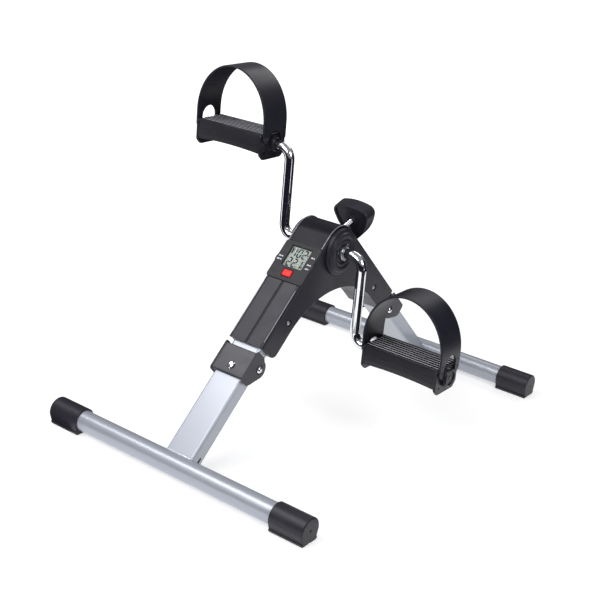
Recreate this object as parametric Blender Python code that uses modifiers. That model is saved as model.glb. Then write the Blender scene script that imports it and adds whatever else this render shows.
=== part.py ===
"""Folding pedal exerciser: two foot bars, two folding legs, an arched housing with a counter, and a
cranked rod with two strapped pedals that turns against a friction brake.

Metres, +Z up, +X towards the pedal that is down at rest. The front, with the display, faces -Y.
The origin is on the floor, midway between the foot bars. Both arms of the housing are laid out by
two distances from the crank's axis: run, down the slope, and lift, square to the slope and outwards.
"""

import math

import bmesh
import bpy
from mathutils import Matrix, Vector

# Stand
GAP = 0.0003
FOOT_Y = 0.2493
FOOT_R = 0.0127
FOOT_Z = 0.0155
FOOT_WALL = 0.0015
FOOT_HALF = 0.187
CAP_INNER_X = 0.1458
CAP_LENGTH = 0.0452
CAP_R = 0.0152
CAP_FLAT_HALF = 0.0115

# Arms and legs
HUB_Z = 0.220
SLOPE = math.radians(43.5)
TUBE_W = 0.040
TUBE_T = 0.020
TUBE_WALL = 0.0015
TUBE_LIFT = 0.0172
TUBE_CORNER = 0.003
ARM_START = 0.080
PIVOT_RUN = 0.179
PIVOT_LIFT = 0.0115
RIVET_R = 0.0027
RIVET_HEAD_R = 0.0042
RIVET_HEAD = 0.0022
BUTTON_RUN = 0.1915
BUTTON_R = 0.0040
FLANGE_R = 0.0052
FLANGE_TOP = 0.0297
HOLE_R = 0.0043
POCKET_R = 0.0055
POCKET_TOP = 0.0300
LEG_HOLE_R = 0.0058

# Brackets that carry the fold
BRACKET_TOP = 0.1672
BRACKET_END = 0.2025
BRACKET_LIFT = 0.0312
BRACKET_HALF = 0.0235
BRACKET_WALL = 0.0029

# Housing
HOUSING_HALF = 0.0255
WALL = 0.002
HUB_R = 0.0293
FRONT_LIFT = 0.0295
REAR_LIFT = 0.0318
UNDER_LIFT = -0.0011
ARCH_CROWN_Z = 0.170
HOUSING_END = 0.1588
HEEL_R = 0.009
COVER_LIFT = 0.0312
COVER_T = 0.0014
SCREW_Y = 0.0896
SCREW_Z = 0.1506
SCREW_R = 0.0018
SCREW_HOLE_R = 0.0021
HEAD_R = 0.0037
HEAD_T = 0.0008
COUNTERBORE_R = 0.0042
COUNTERBORE_X = 0.0243
BEARING_HOLE_R = 0.0095
TUB_RIM = 0.0030

# Console
CONSOLE_TOP = 0.0196
CONSOLE_END = 0.0726
CONSOLE_HALF = 0.0265
CONSOLE_LIFT = 0.0328
TUB_HALF = 0.0190
WINDOW_HALF = 0.0143
WINDOW_TOP = 0.0251
WINDOW_END = 0.0531
RESET_RUN = 0.0622
RESET_HALF_X = 0.0063
RESET_HALF_RUN = 0.0043

# Crank, brake and tension knob
ROD_R = 0.0062
THROW = 0.109
ARM_X = 0.060
BEND_R = 0.015
DISC_R = 0.0292
DISC_X = 0.0336
DRUM_R = 0.0155
KNOB_ANGLE = math.radians(19.5)
KNOB_BASE = 0.0610
KNOB_T = 0.020
KNOB_R = 0.0285
KNOB_CORNER_R = 0.0095
KNOB_SOCKET = 0.008
STEM_R = 0.003
STEM_START = 0.0252
SHOE_BACK = 0.0248
SHOE_HALF = 0.009

# Pedals, measured from the inner end of each and from its axis
PEDAL_X = 0.088
PEDAL_L = 0.104
TREAD_Z = 0.014
TREAD_HALF = 0.022
SKIRT_Z = -0.011
PEDAL_WALL = 0.0025
RIBS = 8
END_PLATE_Z = -0.019
STRAP_W = 0.044
STRAP_T = 0.0025
STRAP_TOP = 0.0885
STRAP_BEND_Z = 0.025
STRAP_END_Z = 0.002
NOTCH_R = 0.0127
NOTCH_Z = 0.015
INNER_NOTCH_Z = 0.0035
SLEEVE_R = 0.0088
SLEEVE_L = 0.007
PLATE_T = 0.003

# Lengths of the cutting tools past what they cut
PAST = 0.01
ACROSS = 0.03

ROUND_STEPS = 24
SIDES = {"front": 1, "rear": -1}
HANDS = {"left": -1, "right": 1}


def clear_scene():
    for item in list(bpy.data.objects):
        bpy.data.objects.remove(item)


def collection(name):
    group = bpy.data.collections.new(name)
    bpy.context.scene.collection.children.link(group)
    return group


def material(name, colour, roughness, metallic=0.0):
    finish = bpy.data.materials.new(name)
    finish.use_nodes = True
    shader = finish.node_tree.nodes["Principled BSDF"]
    shader.inputs["Base Color"].default_value = (*colour, 1.0)
    shader.inputs["Roughness"].default_value = roughness
    shader.inputs["Metallic"].default_value = metallic
    return finish


clear_scene()
PARTS = collection("pedal_exerciser")
CUTTERS = collection("cutters")
PLASTIC = material("black_plastic", (0.020, 0.020, 0.022), 0.45)
RUBBER = material("black_rubber", (0.012, 0.012, 0.012), 0.75)
PAINT = material("silver_paint", (0.42, 0.44, 0.47), 0.35, 0.6)
CHROME = material("chrome", (0.80, 0.80, 0.82), 0.08, 1.0)
STEEL = material("zinc_steel", (0.55, 0.56, 0.58), 0.35, 1.0)
NYLON = material("nylon", (0.75, 0.74, 0.70), 0.5)
RED = material("red_plastic", (0.60, 0.020, 0.012), 0.35)
GLASS = material("lens", (0.50, 0.54, 0.50), 0.1)
LCD = material("lcd", (0.33, 0.37, 0.33), 0.3)
BOARD = material("circuit_board", (0.02, 0.15, 0.06), 0.5)


# ---- Making and placing solids ----

def closed(mesh):
    """Weld a mesh and point its faces outwards."""
    form = bmesh.new()
    form.from_mesh(mesh)
    bmesh.ops.remove_doubles(form, verts=form.verts, dist=0.00001)
    bmesh.ops.recalc_face_normals(form, faces=form.faces)
    form.to_mesh(mesh)
    form.free()
    mesh.shade_smooth()
    mesh.set_sharp_from_angle(angle=math.radians(35))
    return mesh


def evaluated(data):
    """The closed mesh that a curve, or an object with its modifiers, comes out as."""
    guide = data if isinstance(data, bpy.types.Object) else bpy.data.objects.new("guide", data)
    bpy.context.scene.collection.objects.link(guide)
    graph = bpy.context.evaluated_depsgraph_get()
    mesh = bpy.data.meshes.new_from_object(guide.evaluated_get(graph))
    bpy.data.objects.remove(guide)
    return closed(mesh)


def prism(loops, start, end):
    """An outline in local XY, with any holes after it, from z = start to z = end."""
    curve = bpy.data.curves.new("outline", "CURVE")
    curve.dimensions = "2D"
    curve.fill_mode = "BOTH"
    curve.extrude = (end - start) / 2
    for loop in loops:
        spline = curve.splines.new("POLY")
        spline.points.add(len(loop) - 1)
        for point, (u, v) in zip(spline.points, loop):
            point.co = (u, v, 0.0, 1.0)
        spline.use_cyclic_u = True
    mesh = evaluated(curve)
    mesh.transform(Matrix.Translation((0, 0, (start + end) / 2)))
    return mesh


def turned(profile, steps=ROUND_STEPS):
    """A profile of (radius, height) turned about local Z; it is a loop, or it ends on the axis."""
    mesh = bpy.data.meshes.new("profile")
    on_axis = profile[0][0] == 0.0
    edges = [(i, i + 1) for i in range(len(profile) - 1)]
    if not on_axis:
        edges.append((len(profile) - 1, 0))
    mesh.from_pydata([(r, 0.0, h) for r, h in profile], edges, [])
    guide = bpy.data.objects.new("profile", mesh)
    turn = guide.modifiers.new("Turn", "SCREW")
    turn.steps = turn.render_steps = steps
    turn.use_merge_vertices = True
    turn.merge_threshold = 0.00001
    return evaluated(guide)


def rod(points, radius, resolution=4):
    """A round bar along a path."""
    curve = bpy.data.curves.new("rod", "CURVE")
    curve.dimensions = "3D"
    curve.bevel_depth = radius
    curve.bevel_resolution = resolution
    curve.use_fill_caps = True
    spline = curve.splines.new("POLY")
    spline.points.add(len(points) - 1)
    for point, place in zip(spline.points, points):
        point.co = (*place, 1.0)
    return evaluated(curve)


def box(low, high):
    mesh = bpy.data.meshes.new("box")
    form = bmesh.new()
    bmesh.ops.create_cube(form, size=1.0)
    size = [b - a for a, b in zip(low, high)]
    middle = [(a + b) / 2 for a, b in zip(low, high)]
    bmesh.ops.scale(form, vec=size, verts=form.verts)
    bmesh.ops.translate(form, vec=middle, verts=form.verts)
    form.to_mesh(mesh)
    form.free()
    return mesh


def cylinder(radius, start, end, steps=ROUND_STEPS):
    return turned([(0.0, end), (radius, end), (radius, start), (0.0, start)], steps)


def piece(name, mesh, place, finish, pivot=None):
    item = bpy.data.objects.new(name, mesh)
    mesh.materials.clear()
    mesh.materials.append(finish)
    PARTS.objects.link(item)
    item.matrix_world = place
    if pivot:
        item.parent = pivot
        item.matrix_parent_inverse = Matrix.Translation(-pivot.location)
    return item


def boolean(item, mesh, place, operation="DIFFERENCE"):
    """Cut the piece with a mesh, or join the mesh to it."""
    tool = bpy.data.objects.new("cutter", mesh)
    tool.hide_render = True
    tool.display_type = "WIRE"
    CUTTERS.objects.link(tool)
    tool.matrix_world = place
    change = item.modifiers.new(operation.title(), "BOOLEAN")
    change.operation = operation
    change.object = tool


def soften(item, width, segments=2, angle=40):
    bevel = item.modifiers.new("Bevel", "BEVEL")
    bevel.width = width
    bevel.segments = segments
    bevel.limit_method = "ANGLE"
    bevel.angle_limit = math.radians(angle)


def axis(name, place):
    """An empty on a joint's axis, which carries the pieces that move."""
    empty = bpy.data.objects.new(name, None)
    empty.location = place
    empty.empty_display_size = 0.02
    PARTS.objects.link(empty)
    return empty


# ---- Outlines and places ----

def arc(centre, radius, first, last, count):
    """Points on a circle, from one angle to another in degrees."""
    angles = [math.radians(first + (last - first) * i / count) for i in range(count + 1)]
    return [(centre[0] + radius * math.cos(a), centre[1] + radius * math.sin(a)) for a in angles]


def circle(centre, radius, count=ROUND_STEPS):
    return arc(centre, radius, 0, 360, count)[:-1]


def rounded_box(half_u, half_v, radius, count=3):
    corners = ((1, 1, 0), (-1, 1, 90), (-1, -1, 180), (1, -1, 270))
    points = []
    for u, v, start in corners:
        centre = (u * (half_u - radius), v * (half_v - radius))
        points += arc(centre, radius, start, start + 90, count)
    return points


def on_arm(side, run, lift):
    """The (y, z) of a place on the front or rear arm, or on its leg."""
    out = run * math.cos(SLOPE) + lift * math.sin(SLOPE)
    return (-SIDES[side] * out, HUB_Z - run * math.sin(SLOPE) + lift * math.cos(SLOPE))


def half_turn(side):
    """The rear arm and leg are the front ones turned half round the vertical."""
    return Matrix.Rotation(0.0 if SIDES[side] > 0 else math.pi, 4, "Z")


def arm_place(side):
    """Local x across, y outwards from the slope and z down it, from the crank's axis."""
    down = Vector((0, -math.cos(SLOPE), -math.sin(SLOPE)))
    out = Vector((0, -math.sin(SLOPE), math.cos(SLOPE)))
    turn = Matrix((Vector((1, 0, 0)), out, down)).transposed().to_4x4()
    return half_turn(side) @ Matrix.Translation((0, 0, HUB_Z)) @ turn


def across(y=0.0, z=0.0):
    """Local x is +Y, y is +Z and z is +X, from a line across the object."""
    return Matrix.Translation((0, y, z)) @ Matrix(((0, 0, 1), (1, 0, 0), (0, 1, 0))).to_4x4()


def outwards(side, run):
    """Local z points outwards from the slope."""
    return arm_place(side) @ Matrix.Translation((0, 0, run)) @ Matrix.Rotation(-math.pi / 2, 4, "X")


def inset(loop, distance):
    """A closed loop moved inwards by a wall's thickness; the loop runs anticlockwise."""
    moved = []
    for i, point in enumerate(loop):
        here = Vector(point)
        before = (here - Vector(loop[i - 1])).normalized()
        after = (Vector(loop[(i + 1) % len(loop)]) - here).normalized()
        normals = Vector((-before.y, before.x)) + Vector((-after.y, after.x))
        scale = 2 * distance / max(normals.length_squared, 0.5)
        moved.append(tuple(here + normals * scale))
    return moved


# ---- Stand ----

def cap_outline():
    top = arc((0, 0), CAP_R, -15, 195, 16)
    base = -FOOT_Z
    return top + [(-CAP_FLAT_HALF - 0.0012, base + 0.0025), (-CAP_FLAT_HALF, base),
                  (CAP_FLAT_HALF, base), (CAP_FLAT_HALF + 0.0012, base + 0.0025)]


def foot_bars():
    ring = [circle((0, 0), FOOT_R), circle((0, 0), FOOT_R - FOOT_WALL)]
    outline = cap_outline()
    for side, sign in SIDES.items():
        place = across(-sign * FOOT_Y, FOOT_Z)
        pivot = PIVOTS[side]
        piece(f"foot_bar_{side}", prism(ring, -FOOT_HALF, FOOT_HALF), place, PAINT, pivot)
        for hand, turn in HANDS.items():
            turned_place = Matrix.Translation((0, -sign * FOOT_Y, FOOT_Z))
            turned_place @= Matrix.Rotation(0.0 if turn > 0 else math.pi, 4, "Z") @ across()
            mesh = prism([outline], CAP_INNER_X, CAP_INNER_X + CAP_LENGTH)
            cap = piece(f"foot_cap_{side}_{hand}", mesh, turned_place, RUBBER, pivot)
            bore = cylinder(FOOT_R + GAP, CAP_INNER_X - PAST, FOOT_HALF + GAP)
            boolean(cap, bore, turned_place)


def square_tube(name, side, start, end, pivot=None):
    """A length of the oblong steel tube that the arms and legs are cut from."""
    outer = rounded_box(TUBE_W / 2, TUBE_T / 2, TUBE_CORNER)
    inner = rounded_box(TUBE_W / 2 - TUBE_WALL, TUBE_T / 2 - TUBE_WALL, TUBE_CORNER - TUBE_WALL)
    place = arm_place(side) @ Matrix.Translation((0, TUBE_LIFT, 0))
    tube = piece(name, prism([outer], start, end), place, PAINT, pivot)
    boolean(tube, prism([inner], start - PAST, end + PAST), place)
    return tube


def knuckle_r():
    """How far the leg's front face is from the fold's axis, which its rounded end keeps to."""
    return TUBE_LIFT + TUBE_T / 2 - PIVOT_LIFT


def knuckle_trim():
    """What lies above the leg's round end, as (run, lift)."""
    far = 0.04
    centre = (PIVOT_RUN, PIVOT_LIFT)
    round_end = arc(centre, knuckle_r() - 0.0001, 90, 270, 16)
    return [(PIVOT_RUN, far)] + round_end + [(PIVOT_RUN, -far), (PIVOT_RUN - far, -far),
                                             (PIVOT_RUN - far, far)]


def legs():
    foot_run = FOOT_Y * math.cos(SLOPE) + (HUB_Z - FOOT_Z) * math.sin(SLOPE)
    for side, sign in SIDES.items():
        pivot_place = across(*on_arm(side, PIVOT_RUN, PIVOT_LIFT))
        leg = square_tube(f"leg_tube_{side}", side, PIVOT_RUN - 0.02, foot_run - 0.0075, PIVOTS[side])
        trim = [on_arm(side, run, lift) for run, lift in knuckle_trim()]
        boolean(leg, prism([trim], -ACROSS, ACROSS), across())
        boolean(leg, cylinder(RIVET_R + GAP, -ACROSS, ACROSS, 16), pivot_place)
        boolean(leg, cylinder(FOOT_R + GAP, -ACROSS, ACROSS, 48), across(-sign * FOOT_Y, FOOT_Z))
        boolean(leg, cylinder(LEG_HOLE_R, 0.024, 0.034, 16), outwards(side, BUTTON_RUN))


# ---- Fold: frame arms, brackets, rivets and locks ----

def bracket_outline():
    """The cheek, seen from the side as (run, lift): a flat front and a lobe round the fold's axis."""
    lobe = arc((PIVOT_RUN, PIVOT_LIFT), 0.0092, 180, 315, 9)
    return [(BRACKET_TOP, BRACKET_LIFT), (BRACKET_TOP, PIVOT_LIFT + 0.004)] + lobe + [
        (BRACKET_END - 0.004, 0.0145), (BRACKET_END, 0.0185), (BRACKET_END, BRACKET_LIFT)]


def folds():
    for side in SIDES:
        pivot_place = across(*on_arm(side, PIVOT_RUN, PIVOT_LIFT))
        arm = square_tube(f"frame_arm_{side}", side, ARM_START, PIVOT_RUN)
        boolean(arm, cylinder(knuckle_r() + 2 * GAP, -ACROSS, ACROSS, 48), pivot_place)
        boolean(arm, cylinder(0.0022, -ACROSS, ACROSS, 12), across(-SIDES[side] * SCREW_Y, SCREW_Z))

        loop = [on_arm(side, run, lift) for run, lift in bracket_outline()]
        mesh = prism([loop], -BRACKET_HALF, BRACKET_HALF)
        bracket = piece(f"hinge_bracket_{side}", mesh, across(), PLASTIC)
        half = BRACKET_HALF - BRACKET_WALL
        slot = box((-half, -0.03, BRACKET_TOP - 0.03),
                   (half, TUBE_LIFT + TUBE_T / 2 + GAP, BRACKET_END + 0.03))
        boolean(bracket, slot, arm_place(side))
        boolean(bracket, cylinder(RIVET_R + GAP, -ACROSS, ACROSS, 16), pivot_place)
        boolean(bracket, cylinder(HOLE_R, 0.02, 0.04, 16), outwards(side, BUTTON_RUN))
        boolean(bracket, cylinder(POCKET_R, 0.02, POCKET_TOP, 16), outwards(side, BUTTON_RUN))

        head_x = BRACKET_HALF + GAP
        dome = [(0, head_x + RIVET_HEAD), (0.0025, head_x + 0.0018), (RIVET_HEAD_R, head_x),
                (RIVET_R, head_x)]
        profile = dome + [(r, -x) for r, x in dome[::-1]]
        piece(f"hinge_rivet_{side}", turned(profile, 16), pivot_place, CHROME)

        button = [(0, 0.0337), (0.0025, 0.0334), (0.0038, 0.0322), (BUTTON_R, FLANGE_TOP),
                  (FLANGE_R, FLANGE_TOP), (FLANGE_R, 0.0286), (0, 0.0286)]
        slider = axis(f"lock_axis_{side}", (0, *on_arm(side, BUTTON_RUN, BRACKET_LIFT)))
        piece(f"lock_button_{side}", turned(button, 16), outwards(side, BUTTON_RUN), CHROME, slider)

        piece(f"lock_spring_{side}", lock_spring(), arm_place(side), STEEL, PIVOTS[side])


def lock_spring():
    """A leaf bent to a narrow V inside the leg, under the lock button."""
    strip, bend_r = 0.0008, 0.004
    floor = TUBE_LIFT - TUBE_T / 2 + TUBE_WALL + GAP
    roof = TUBE_LIFT + TUBE_T / 2 - TUBE_WALL - GAP
    near = BUTTON_RUN - 0.005
    bend = (BUTTON_RUN + 0.028, (floor + roof) / 2)
    outer = [(near, roof), (near, roof - strip), (bend[0], bend[1] + bend_r - strip)]
    outer += arc(bend, bend_r - strip, 75, -75, 6)
    outer += [(near, floor + strip), (near, floor)]
    outer += arc(bend, bend_r, -80, 80, 8)
    loop = [(lift, run) for run, lift in outer]
    mesh = prism([loop], -0.005, 0.005)
    mesh.transform(across())
    return closed(mesh)


# ---- Housing ----

def arch_r():
    """The arch is a circle through its crown that runs into both arms' undersides."""
    drop = UNDER_LIFT - math.cos(SLOPE) * (ARCH_CROWN_Z - HUB_Z)
    return drop / (1 - math.cos(SLOPE))


def housing_outline():
    """The side view, anticlockwise from the front arm's underside."""
    slope = math.degrees(SLOPE)
    end = HOUSING_END
    radius = arch_r()
    arch = arc((0, ARCH_CROWN_Z - radius), radius, 90 + slope, 90 - slope, 12)

    def end_round(side):
        centre = (end - HEEL_R, UNDER_LIFT + HEEL_R)
        return [on_arm(side, *place) for place in arc(centre, HEEL_R, -90, 0, 4)]

    front_top = [on_arm("front", end, FRONT_LIFT), on_arm("front", 0.0, FRONT_LIFT)]
    rear_top = [on_arm("rear", -0.002, REAR_LIFT), on_arm("rear", end - 0.002, REAR_LIFT),
                on_arm("rear", end, REAR_LIFT - 0.002)]
    hub = arc((0, HUB_Z), HUB_R, 90 + slope, 90 - slope, 14)[1:]
    return arch + end_round("rear") + rear_top[::-1] + hub[::-1] + front_top[::-1] + \
        end_round("front")[::-1]


def housing():
    outline = housing_outline()
    cavity = inset(outline, WALL)
    knob = knob_place()
    for hand, turn in HANDS.items():
        seam = GAP / 2
        start, end = sorted((turn * seam, turn * HOUSING_HALF))
        shell = piece(f"housing_{hand}", prism([outline], start, end), across(), PLASTIC)
        start, end = sorted((-turn * PAST, turn * (HOUSING_HALF - WALL)))
        boolean(shell, prism([cavity], start, end), across())
        for side in SIDES:
            tube = prism([rounded_box(TUBE_W / 2 + GAP, TUBE_T / 2 + GAP, TUBE_CORNER)],
                         HOUSING_END - 0.02, HOUSING_END + 0.02)
            tube.transform(Matrix.Translation((0, TUBE_LIFT, 0)))
            boolean(shell, tube, arm_place(side))
        tub = TUB_HALF + GAP
        rim = TUB_RIM - GAP
        opening = box((-tub, 0.02, CONSOLE_TOP + rim), (tub, 0.04, CONSOLE_END - rim))
        boolean(shell, opening, arm_place("front"))
        boolean(shell, cylinder(BEARING_HOLE_R, -ACROSS, ACROSS), across(0, HUB_Z))
        boolean(shell, cylinder(STEM_R + 0.001, 0.022, 0.045, 16), knob)
        for sign in (-1, 1):
            boolean(shell, cylinder(SCREW_HOLE_R, -ACROSS, ACROSS, 12), across(sign * SCREW_Y, SCREW_Z))
            head = cylinder(COUNTERBORE_R, turn * COUNTERBORE_X, turn * ACROSS, 16)
            boolean(shell, closed(head), across(sign * SCREW_Y, SCREW_Z))


def screws():
    """The two long screws that clamp the halves, with sunk heads on the right."""
    head_x = HOUSING_HALF - 0.0001
    profile = [(0, head_x), (HEAD_R, head_x), (HEAD_R, head_x - HEAD_T), (SCREW_R, head_x - HEAD_T),
               (SCREW_R, -head_x), (0, -head_x)]
    for side, sign in SIDES.items():
        mesh = turned(profile, 12)
        piece(f"housing_screw_{side}", mesh, across(-sign * SCREW_Y, SCREW_Z), STEEL)


def hub_cover():
    """The rounded cap over the crank, from the console's top edge to the rear arm."""
    slope = math.degrees(SLOPE)

    def path(lift):
        over = arc((0, HUB_Z), lift, 90 + slope, 90 - slope + 3, 16)
        return [on_arm("front", CONSOLE_TOP - GAP, lift)] + over

    outer = path(COVER_LIFT)
    inner = path(COVER_LIFT - COVER_T)
    cover = prism([outer + inner[::-1]], -HOUSING_HALF, HOUSING_HALF)
    piece("hub_cover", cover, across(), PLASTIC)


def lower_cover():
    """The plate below the console, with a groove down its middle."""
    low = FRONT_LIFT + GAP
    high = COVER_LIFT + 0.0004
    half = HOUSING_HALF - 0.0008
    groove = 0.0010
    outline = [(-half, low), (half, low), (half, high - 0.001), (half - 0.001, high),
               (groove + 0.0004, high), (groove, high - 0.001), (-groove, high - 0.001),
               (-groove - 0.0004, high), (-half + 0.001, high), (-half, high - 0.001)]
    mesh = prism([outline], CONSOLE_END + GAP, HOUSING_END - 0.0004)
    piece("lower_cover", mesh, arm_place("front"), PLASTIC)


# ---- Console ----

def console():
    place = arm_place("front")
    base = FRONT_LIFT + GAP
    low, high = CONSOLE_TOP, CONSOLE_END
    rim = TUB_RIM
    half_run = (high - low) / 2
    panel = prism([rounded_box(CONSOLE_HALF, half_run, 0.0035)], base, CONSOLE_LIFT)
    lie_flat = outwards("front", (low + high) / 2)
    case = piece("console_case", panel, lie_flat, PLASTIC)
    tub = box((-TUB_HALF, 0.0125, low + rim), (TUB_HALF, base + 0.001, high - rim))
    boolean(case, tub, place, "UNION")
    cavity = box((-0.0175, 0.0, low + rim + 0.0015), (0.0175, base + 0.0005, high - rim - 0.0015))
    boolean(case, cavity, place)
    window = box((-WINDOW_HALF, 0.025, WINDOW_TOP), (WINDOW_HALF, 0.04, WINDOW_END))
    boolean(case, window, place)
    slot = box((-RESET_HALF_X - GAP, 0.025, RESET_RUN - RESET_HALF_RUN - GAP),
               (RESET_HALF_X + GAP, 0.04, RESET_RUN + RESET_HALF_RUN + GAP))
    boolean(case, slot, place)

    lens = box((-WINDOW_HALF + GAP, 0.0304, WINDOW_TOP + GAP),
               (WINDOW_HALF - GAP, 0.0320, WINDOW_END - GAP))
    piece("display_lens", lens, place, GLASS)
    panel = box((-0.0156, 0.0278, WINDOW_TOP - 0.0008), (0.0156, 0.0298, WINDOW_END + 0.0012))
    piece("display_panel", panel, place, LCD)
    board = box((-0.0170, 0.0258, low + rim + 0.0019), (0.0170, 0.0272, high - rim - 0.0019))
    piece("circuit_board", board, place, BOARD)
    cell = cylinder(0.0052, low + rim + 0.0022, high - rim - 0.0023, 16)
    cell.transform(Matrix.Translation((0.010, 0.0195, 0)))
    piece("battery_cell", cell, place, STEEL)

    reset_place = Matrix.Translation((0, 0, RESET_RUN)) @ Matrix.Rotation(-math.pi / 2, 4, "X")
    button = prism([rounded_box(RESET_HALF_X, RESET_HALF_RUN, 0.0012)], 0.0286, 0.0338)
    press = axis("reset_axis", (0, *on_arm("front", RESET_RUN, CONSOLE_LIFT)))
    piece("reset_button", button, place @ reset_place, RED, press)


# ---- Crank and brake ----

def crank_path():
    """From the end of the left pedal, up and over, through the hub and down to the right pedal."""
    end = PEDAL_X + PEDAL_L + 0.0034
    corners = [Vector((-end, THROW)), Vector((-ARM_X, THROW)), Vector((-ARM_X, 0)),
               Vector((ARM_X, 0)), Vector((ARM_X, -THROW)), Vector((end, -THROW))]
    path = [corners[0]]
    for i in range(1, len(corners) - 1):
        corner = corners[i]
        before = (corners[i - 1] - corner).normalized()
        after = (corners[i + 1] - corner).normalized()
        centre = corner + (before + after) * BEND_R
        for step in range(8):
            turn = math.radians(90 * step / 7)
            path.append(centre - after * BEND_R * math.cos(turn) - before * BEND_R * math.sin(turn))
    path.append(corners[-1])
    return [(p.x, 0.0, HUB_Z + p.y) for p in path]


def crank():
    pivot = axis("crank_axis", (0, 0, HUB_Z))
    at_hub = across(0, HUB_Z)
    piece("crank_rod", rod(crank_path(), ROD_R), Matrix(), CHROME, pivot)
    bore = ROD_R + GAP
    drum = [(DRUM_R, 0.010), (DRUM_R, -0.010), (bore, -0.010), (bore, 0.010)]
    piece("friction_drum", turned(drum, 32), at_hub, STEEL, pivot)
    magnet = cylinder(0.002, 0.0103, 0.0125, 12)
    piece("sensor_magnet", magnet, across(0, HUB_Z + 0.011), STEEL, pivot)
    for hand, turn in HANDS.items():
        flip = Matrix.Rotation(0.0 if turn > 0 else math.pi, 4, "Z")
        z = HUB_Z - turn * THROW
        end = PEDAL_X + PEDAL_L + GAP
        nut = [(bore, end), (0.0085, end), (0.0085, end + 0.0022), (bore, end + 0.0022)][::-1]
        piece(f"axle_retainer_{hand}", turned(nut, 16), Matrix.Translation((0, 0, z)) @ flip @
              across(), STEEL, pivot)
    return pivot


def bearings():
    """Both sides of the hub: a nylon bush in a steel plate, under a stepped disc."""
    slope = math.degrees(SLOPE)
    reach, low, high, hub_r = 0.104, 0.0095, 0.0265, 0.0225
    meet = math.sqrt(hub_r ** 2 - low ** 2)
    below = math.degrees(math.atan2(low, meet))
    bottom = arc((0, HUB_Z), hub_r, 180 + slope - below, 360 - slope + below, 12)
    top = arc((0, HUB_Z), high, 90 - slope, 90 + slope, 10)
    loop = bottom + [on_arm("rear", reach, low), on_arm("rear", reach, high)] + top
    loop += [on_arm("front", reach, high), on_arm("front", reach, low)]
    for hand, turn in HANDS.items():
        flip = Matrix.Rotation(0.0 if turn > 0 else math.pi, 4, "Z")
        plate_x = TUBE_W / 2 + GAP
        mesh = prism([loop, circle((0, HUB_Z), 0.0093)], plate_x, plate_x + 0.002)
        piece(f"bearing_plate_{hand}", mesh, flip @ across(), STEEL)
        bore = ROD_R + GAP
        bush = [(bore, 0.0175), (0.0110, 0.0175), (0.0110, plate_x - GAP), (0.0090, plate_x - GAP),
                (0.0090, 0.0345), (bore, 0.0345)][::-1]
        place = Matrix.Translation((0, 0, HUB_Z)) @ flip @ across()
        piece(f"crank_bush_{hand}", turned(bush), place, NYLON)
        inner = HOUSING_HALF + GAP
        disc = [(0.0093, inner), (DISC_R, inner), (DISC_R, inner + 0.0035), (0.0270, inner + 0.0050),
                (0.0235, DISC_X), (0.0150, DISC_X), (0.0135, DISC_X - 0.0018),
                (0.0093, DISC_X - 0.0018)][::-1]
        piece(f"hub_disc_{hand}", turned(disc, 36), place, PLASTIC)
    sensor = box((0.0135, -0.004, HUB_Z + 0.0165), (0.0172, 0.004, HUB_Z + 0.0255))
    piece("reed_sensor", sensor, Matrix(), PLASTIC)


def knob_place():
    """Local z runs out from the crank's axis along the tension screw; local x is across."""
    return Matrix.Translation((0, 0, HUB_Z)) @ Matrix.Rotation(KNOB_ANGLE - math.pi / 2, 4, "X")


def knob_outline():
    """A rounded triangle with one corner down."""
    reach = KNOB_R - KNOB_CORNER_R
    points = []
    for k in range(3):
        middle = 90 + 120 * k
        turn = math.radians(middle)
        centre = (reach * math.cos(turn), reach * math.sin(turn))
        points += arc(centre, KNOB_CORNER_R, middle - 50, middle + 50, 6)
    return points


def tension():
    place = knob_place()
    knob_axis = axis("knob_axis", place.translation)
    shoe_axis = axis("shoe_axis", place.translation)
    knob = piece("tension_knob", prism([knob_outline()], KNOB_BASE, KNOB_BASE + KNOB_T), place,
                 PLASTIC, knob_axis)
    boolean(knob, cylinder(STEM_R + GAP, KNOB_BASE - PAST, KNOB_BASE + KNOB_SOCKET, 16), place)
    soften(knob, 0.0022, 2, 60)
    stem = cylinder(STEM_R, STEM_START, KNOB_BASE + KNOB_SOCKET - GAP, 16)
    piece("tension_screw", stem, place, CHROME, knob_axis)

    nut = prism([rounded_box(0.0195, 0.006, 0.001), circle((0, 0), STEM_R + GAP, 16)], 0.0258, 0.0292)
    piece("tension_nut_plate", nut, place, STEEL)

    face_r, face_start = DRUM_R + 0.0026, 62
    face = arc((0, 0), face_r, face_start, 180 - face_start, 8)
    half = face_r * math.cos(math.radians(face_start))
    loop = [(half, SHOE_BACK), (-half, SHOE_BACK)] + [(-u, v) for u, v in face]
    shoe = prism([loop], -SHOE_HALF, SHOE_HALF)
    piece("brake_shoe", shoe, place @ across(), RUBBER, shoe_axis)


# ---- Pedals ----

def tread_section():
    """The pedal across its axis: a ribbed top and two leaning skirts, open below."""
    pitch = 2 * TREAD_HALF / RIBS
    depth = 0.0016
    top = []
    for k in range(RIBS):
        left = TREAD_HALF - k * pitch
        top += [(left - 0.15 * pitch, TREAD_Z), (left - 0.70 * pitch, TREAD_Z),
                (left - 0.85 * pitch, TREAD_Z - depth)]
        if k < RIBS - 1:
            top.append((left - pitch, TREAD_Z - depth))
    top[-1] = (-TREAD_HALF, TREAD_Z - 0.001)
    foot = TREAD_HALF + 0.0015
    under = TREAD_Z - depth - PEDAL_WALL
    return [(foot, SKIRT_Z), (TREAD_HALF, TREAD_Z - 0.001)] + top + [
        (-foot, SKIRT_Z), (-foot + PEDAL_WALL, SKIRT_Z), (-TREAD_HALF + PEDAL_WALL, under),
        (TREAD_HALF - PEDAL_WALL, under), (foot - PEDAL_WALL, SKIRT_Z)]


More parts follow.
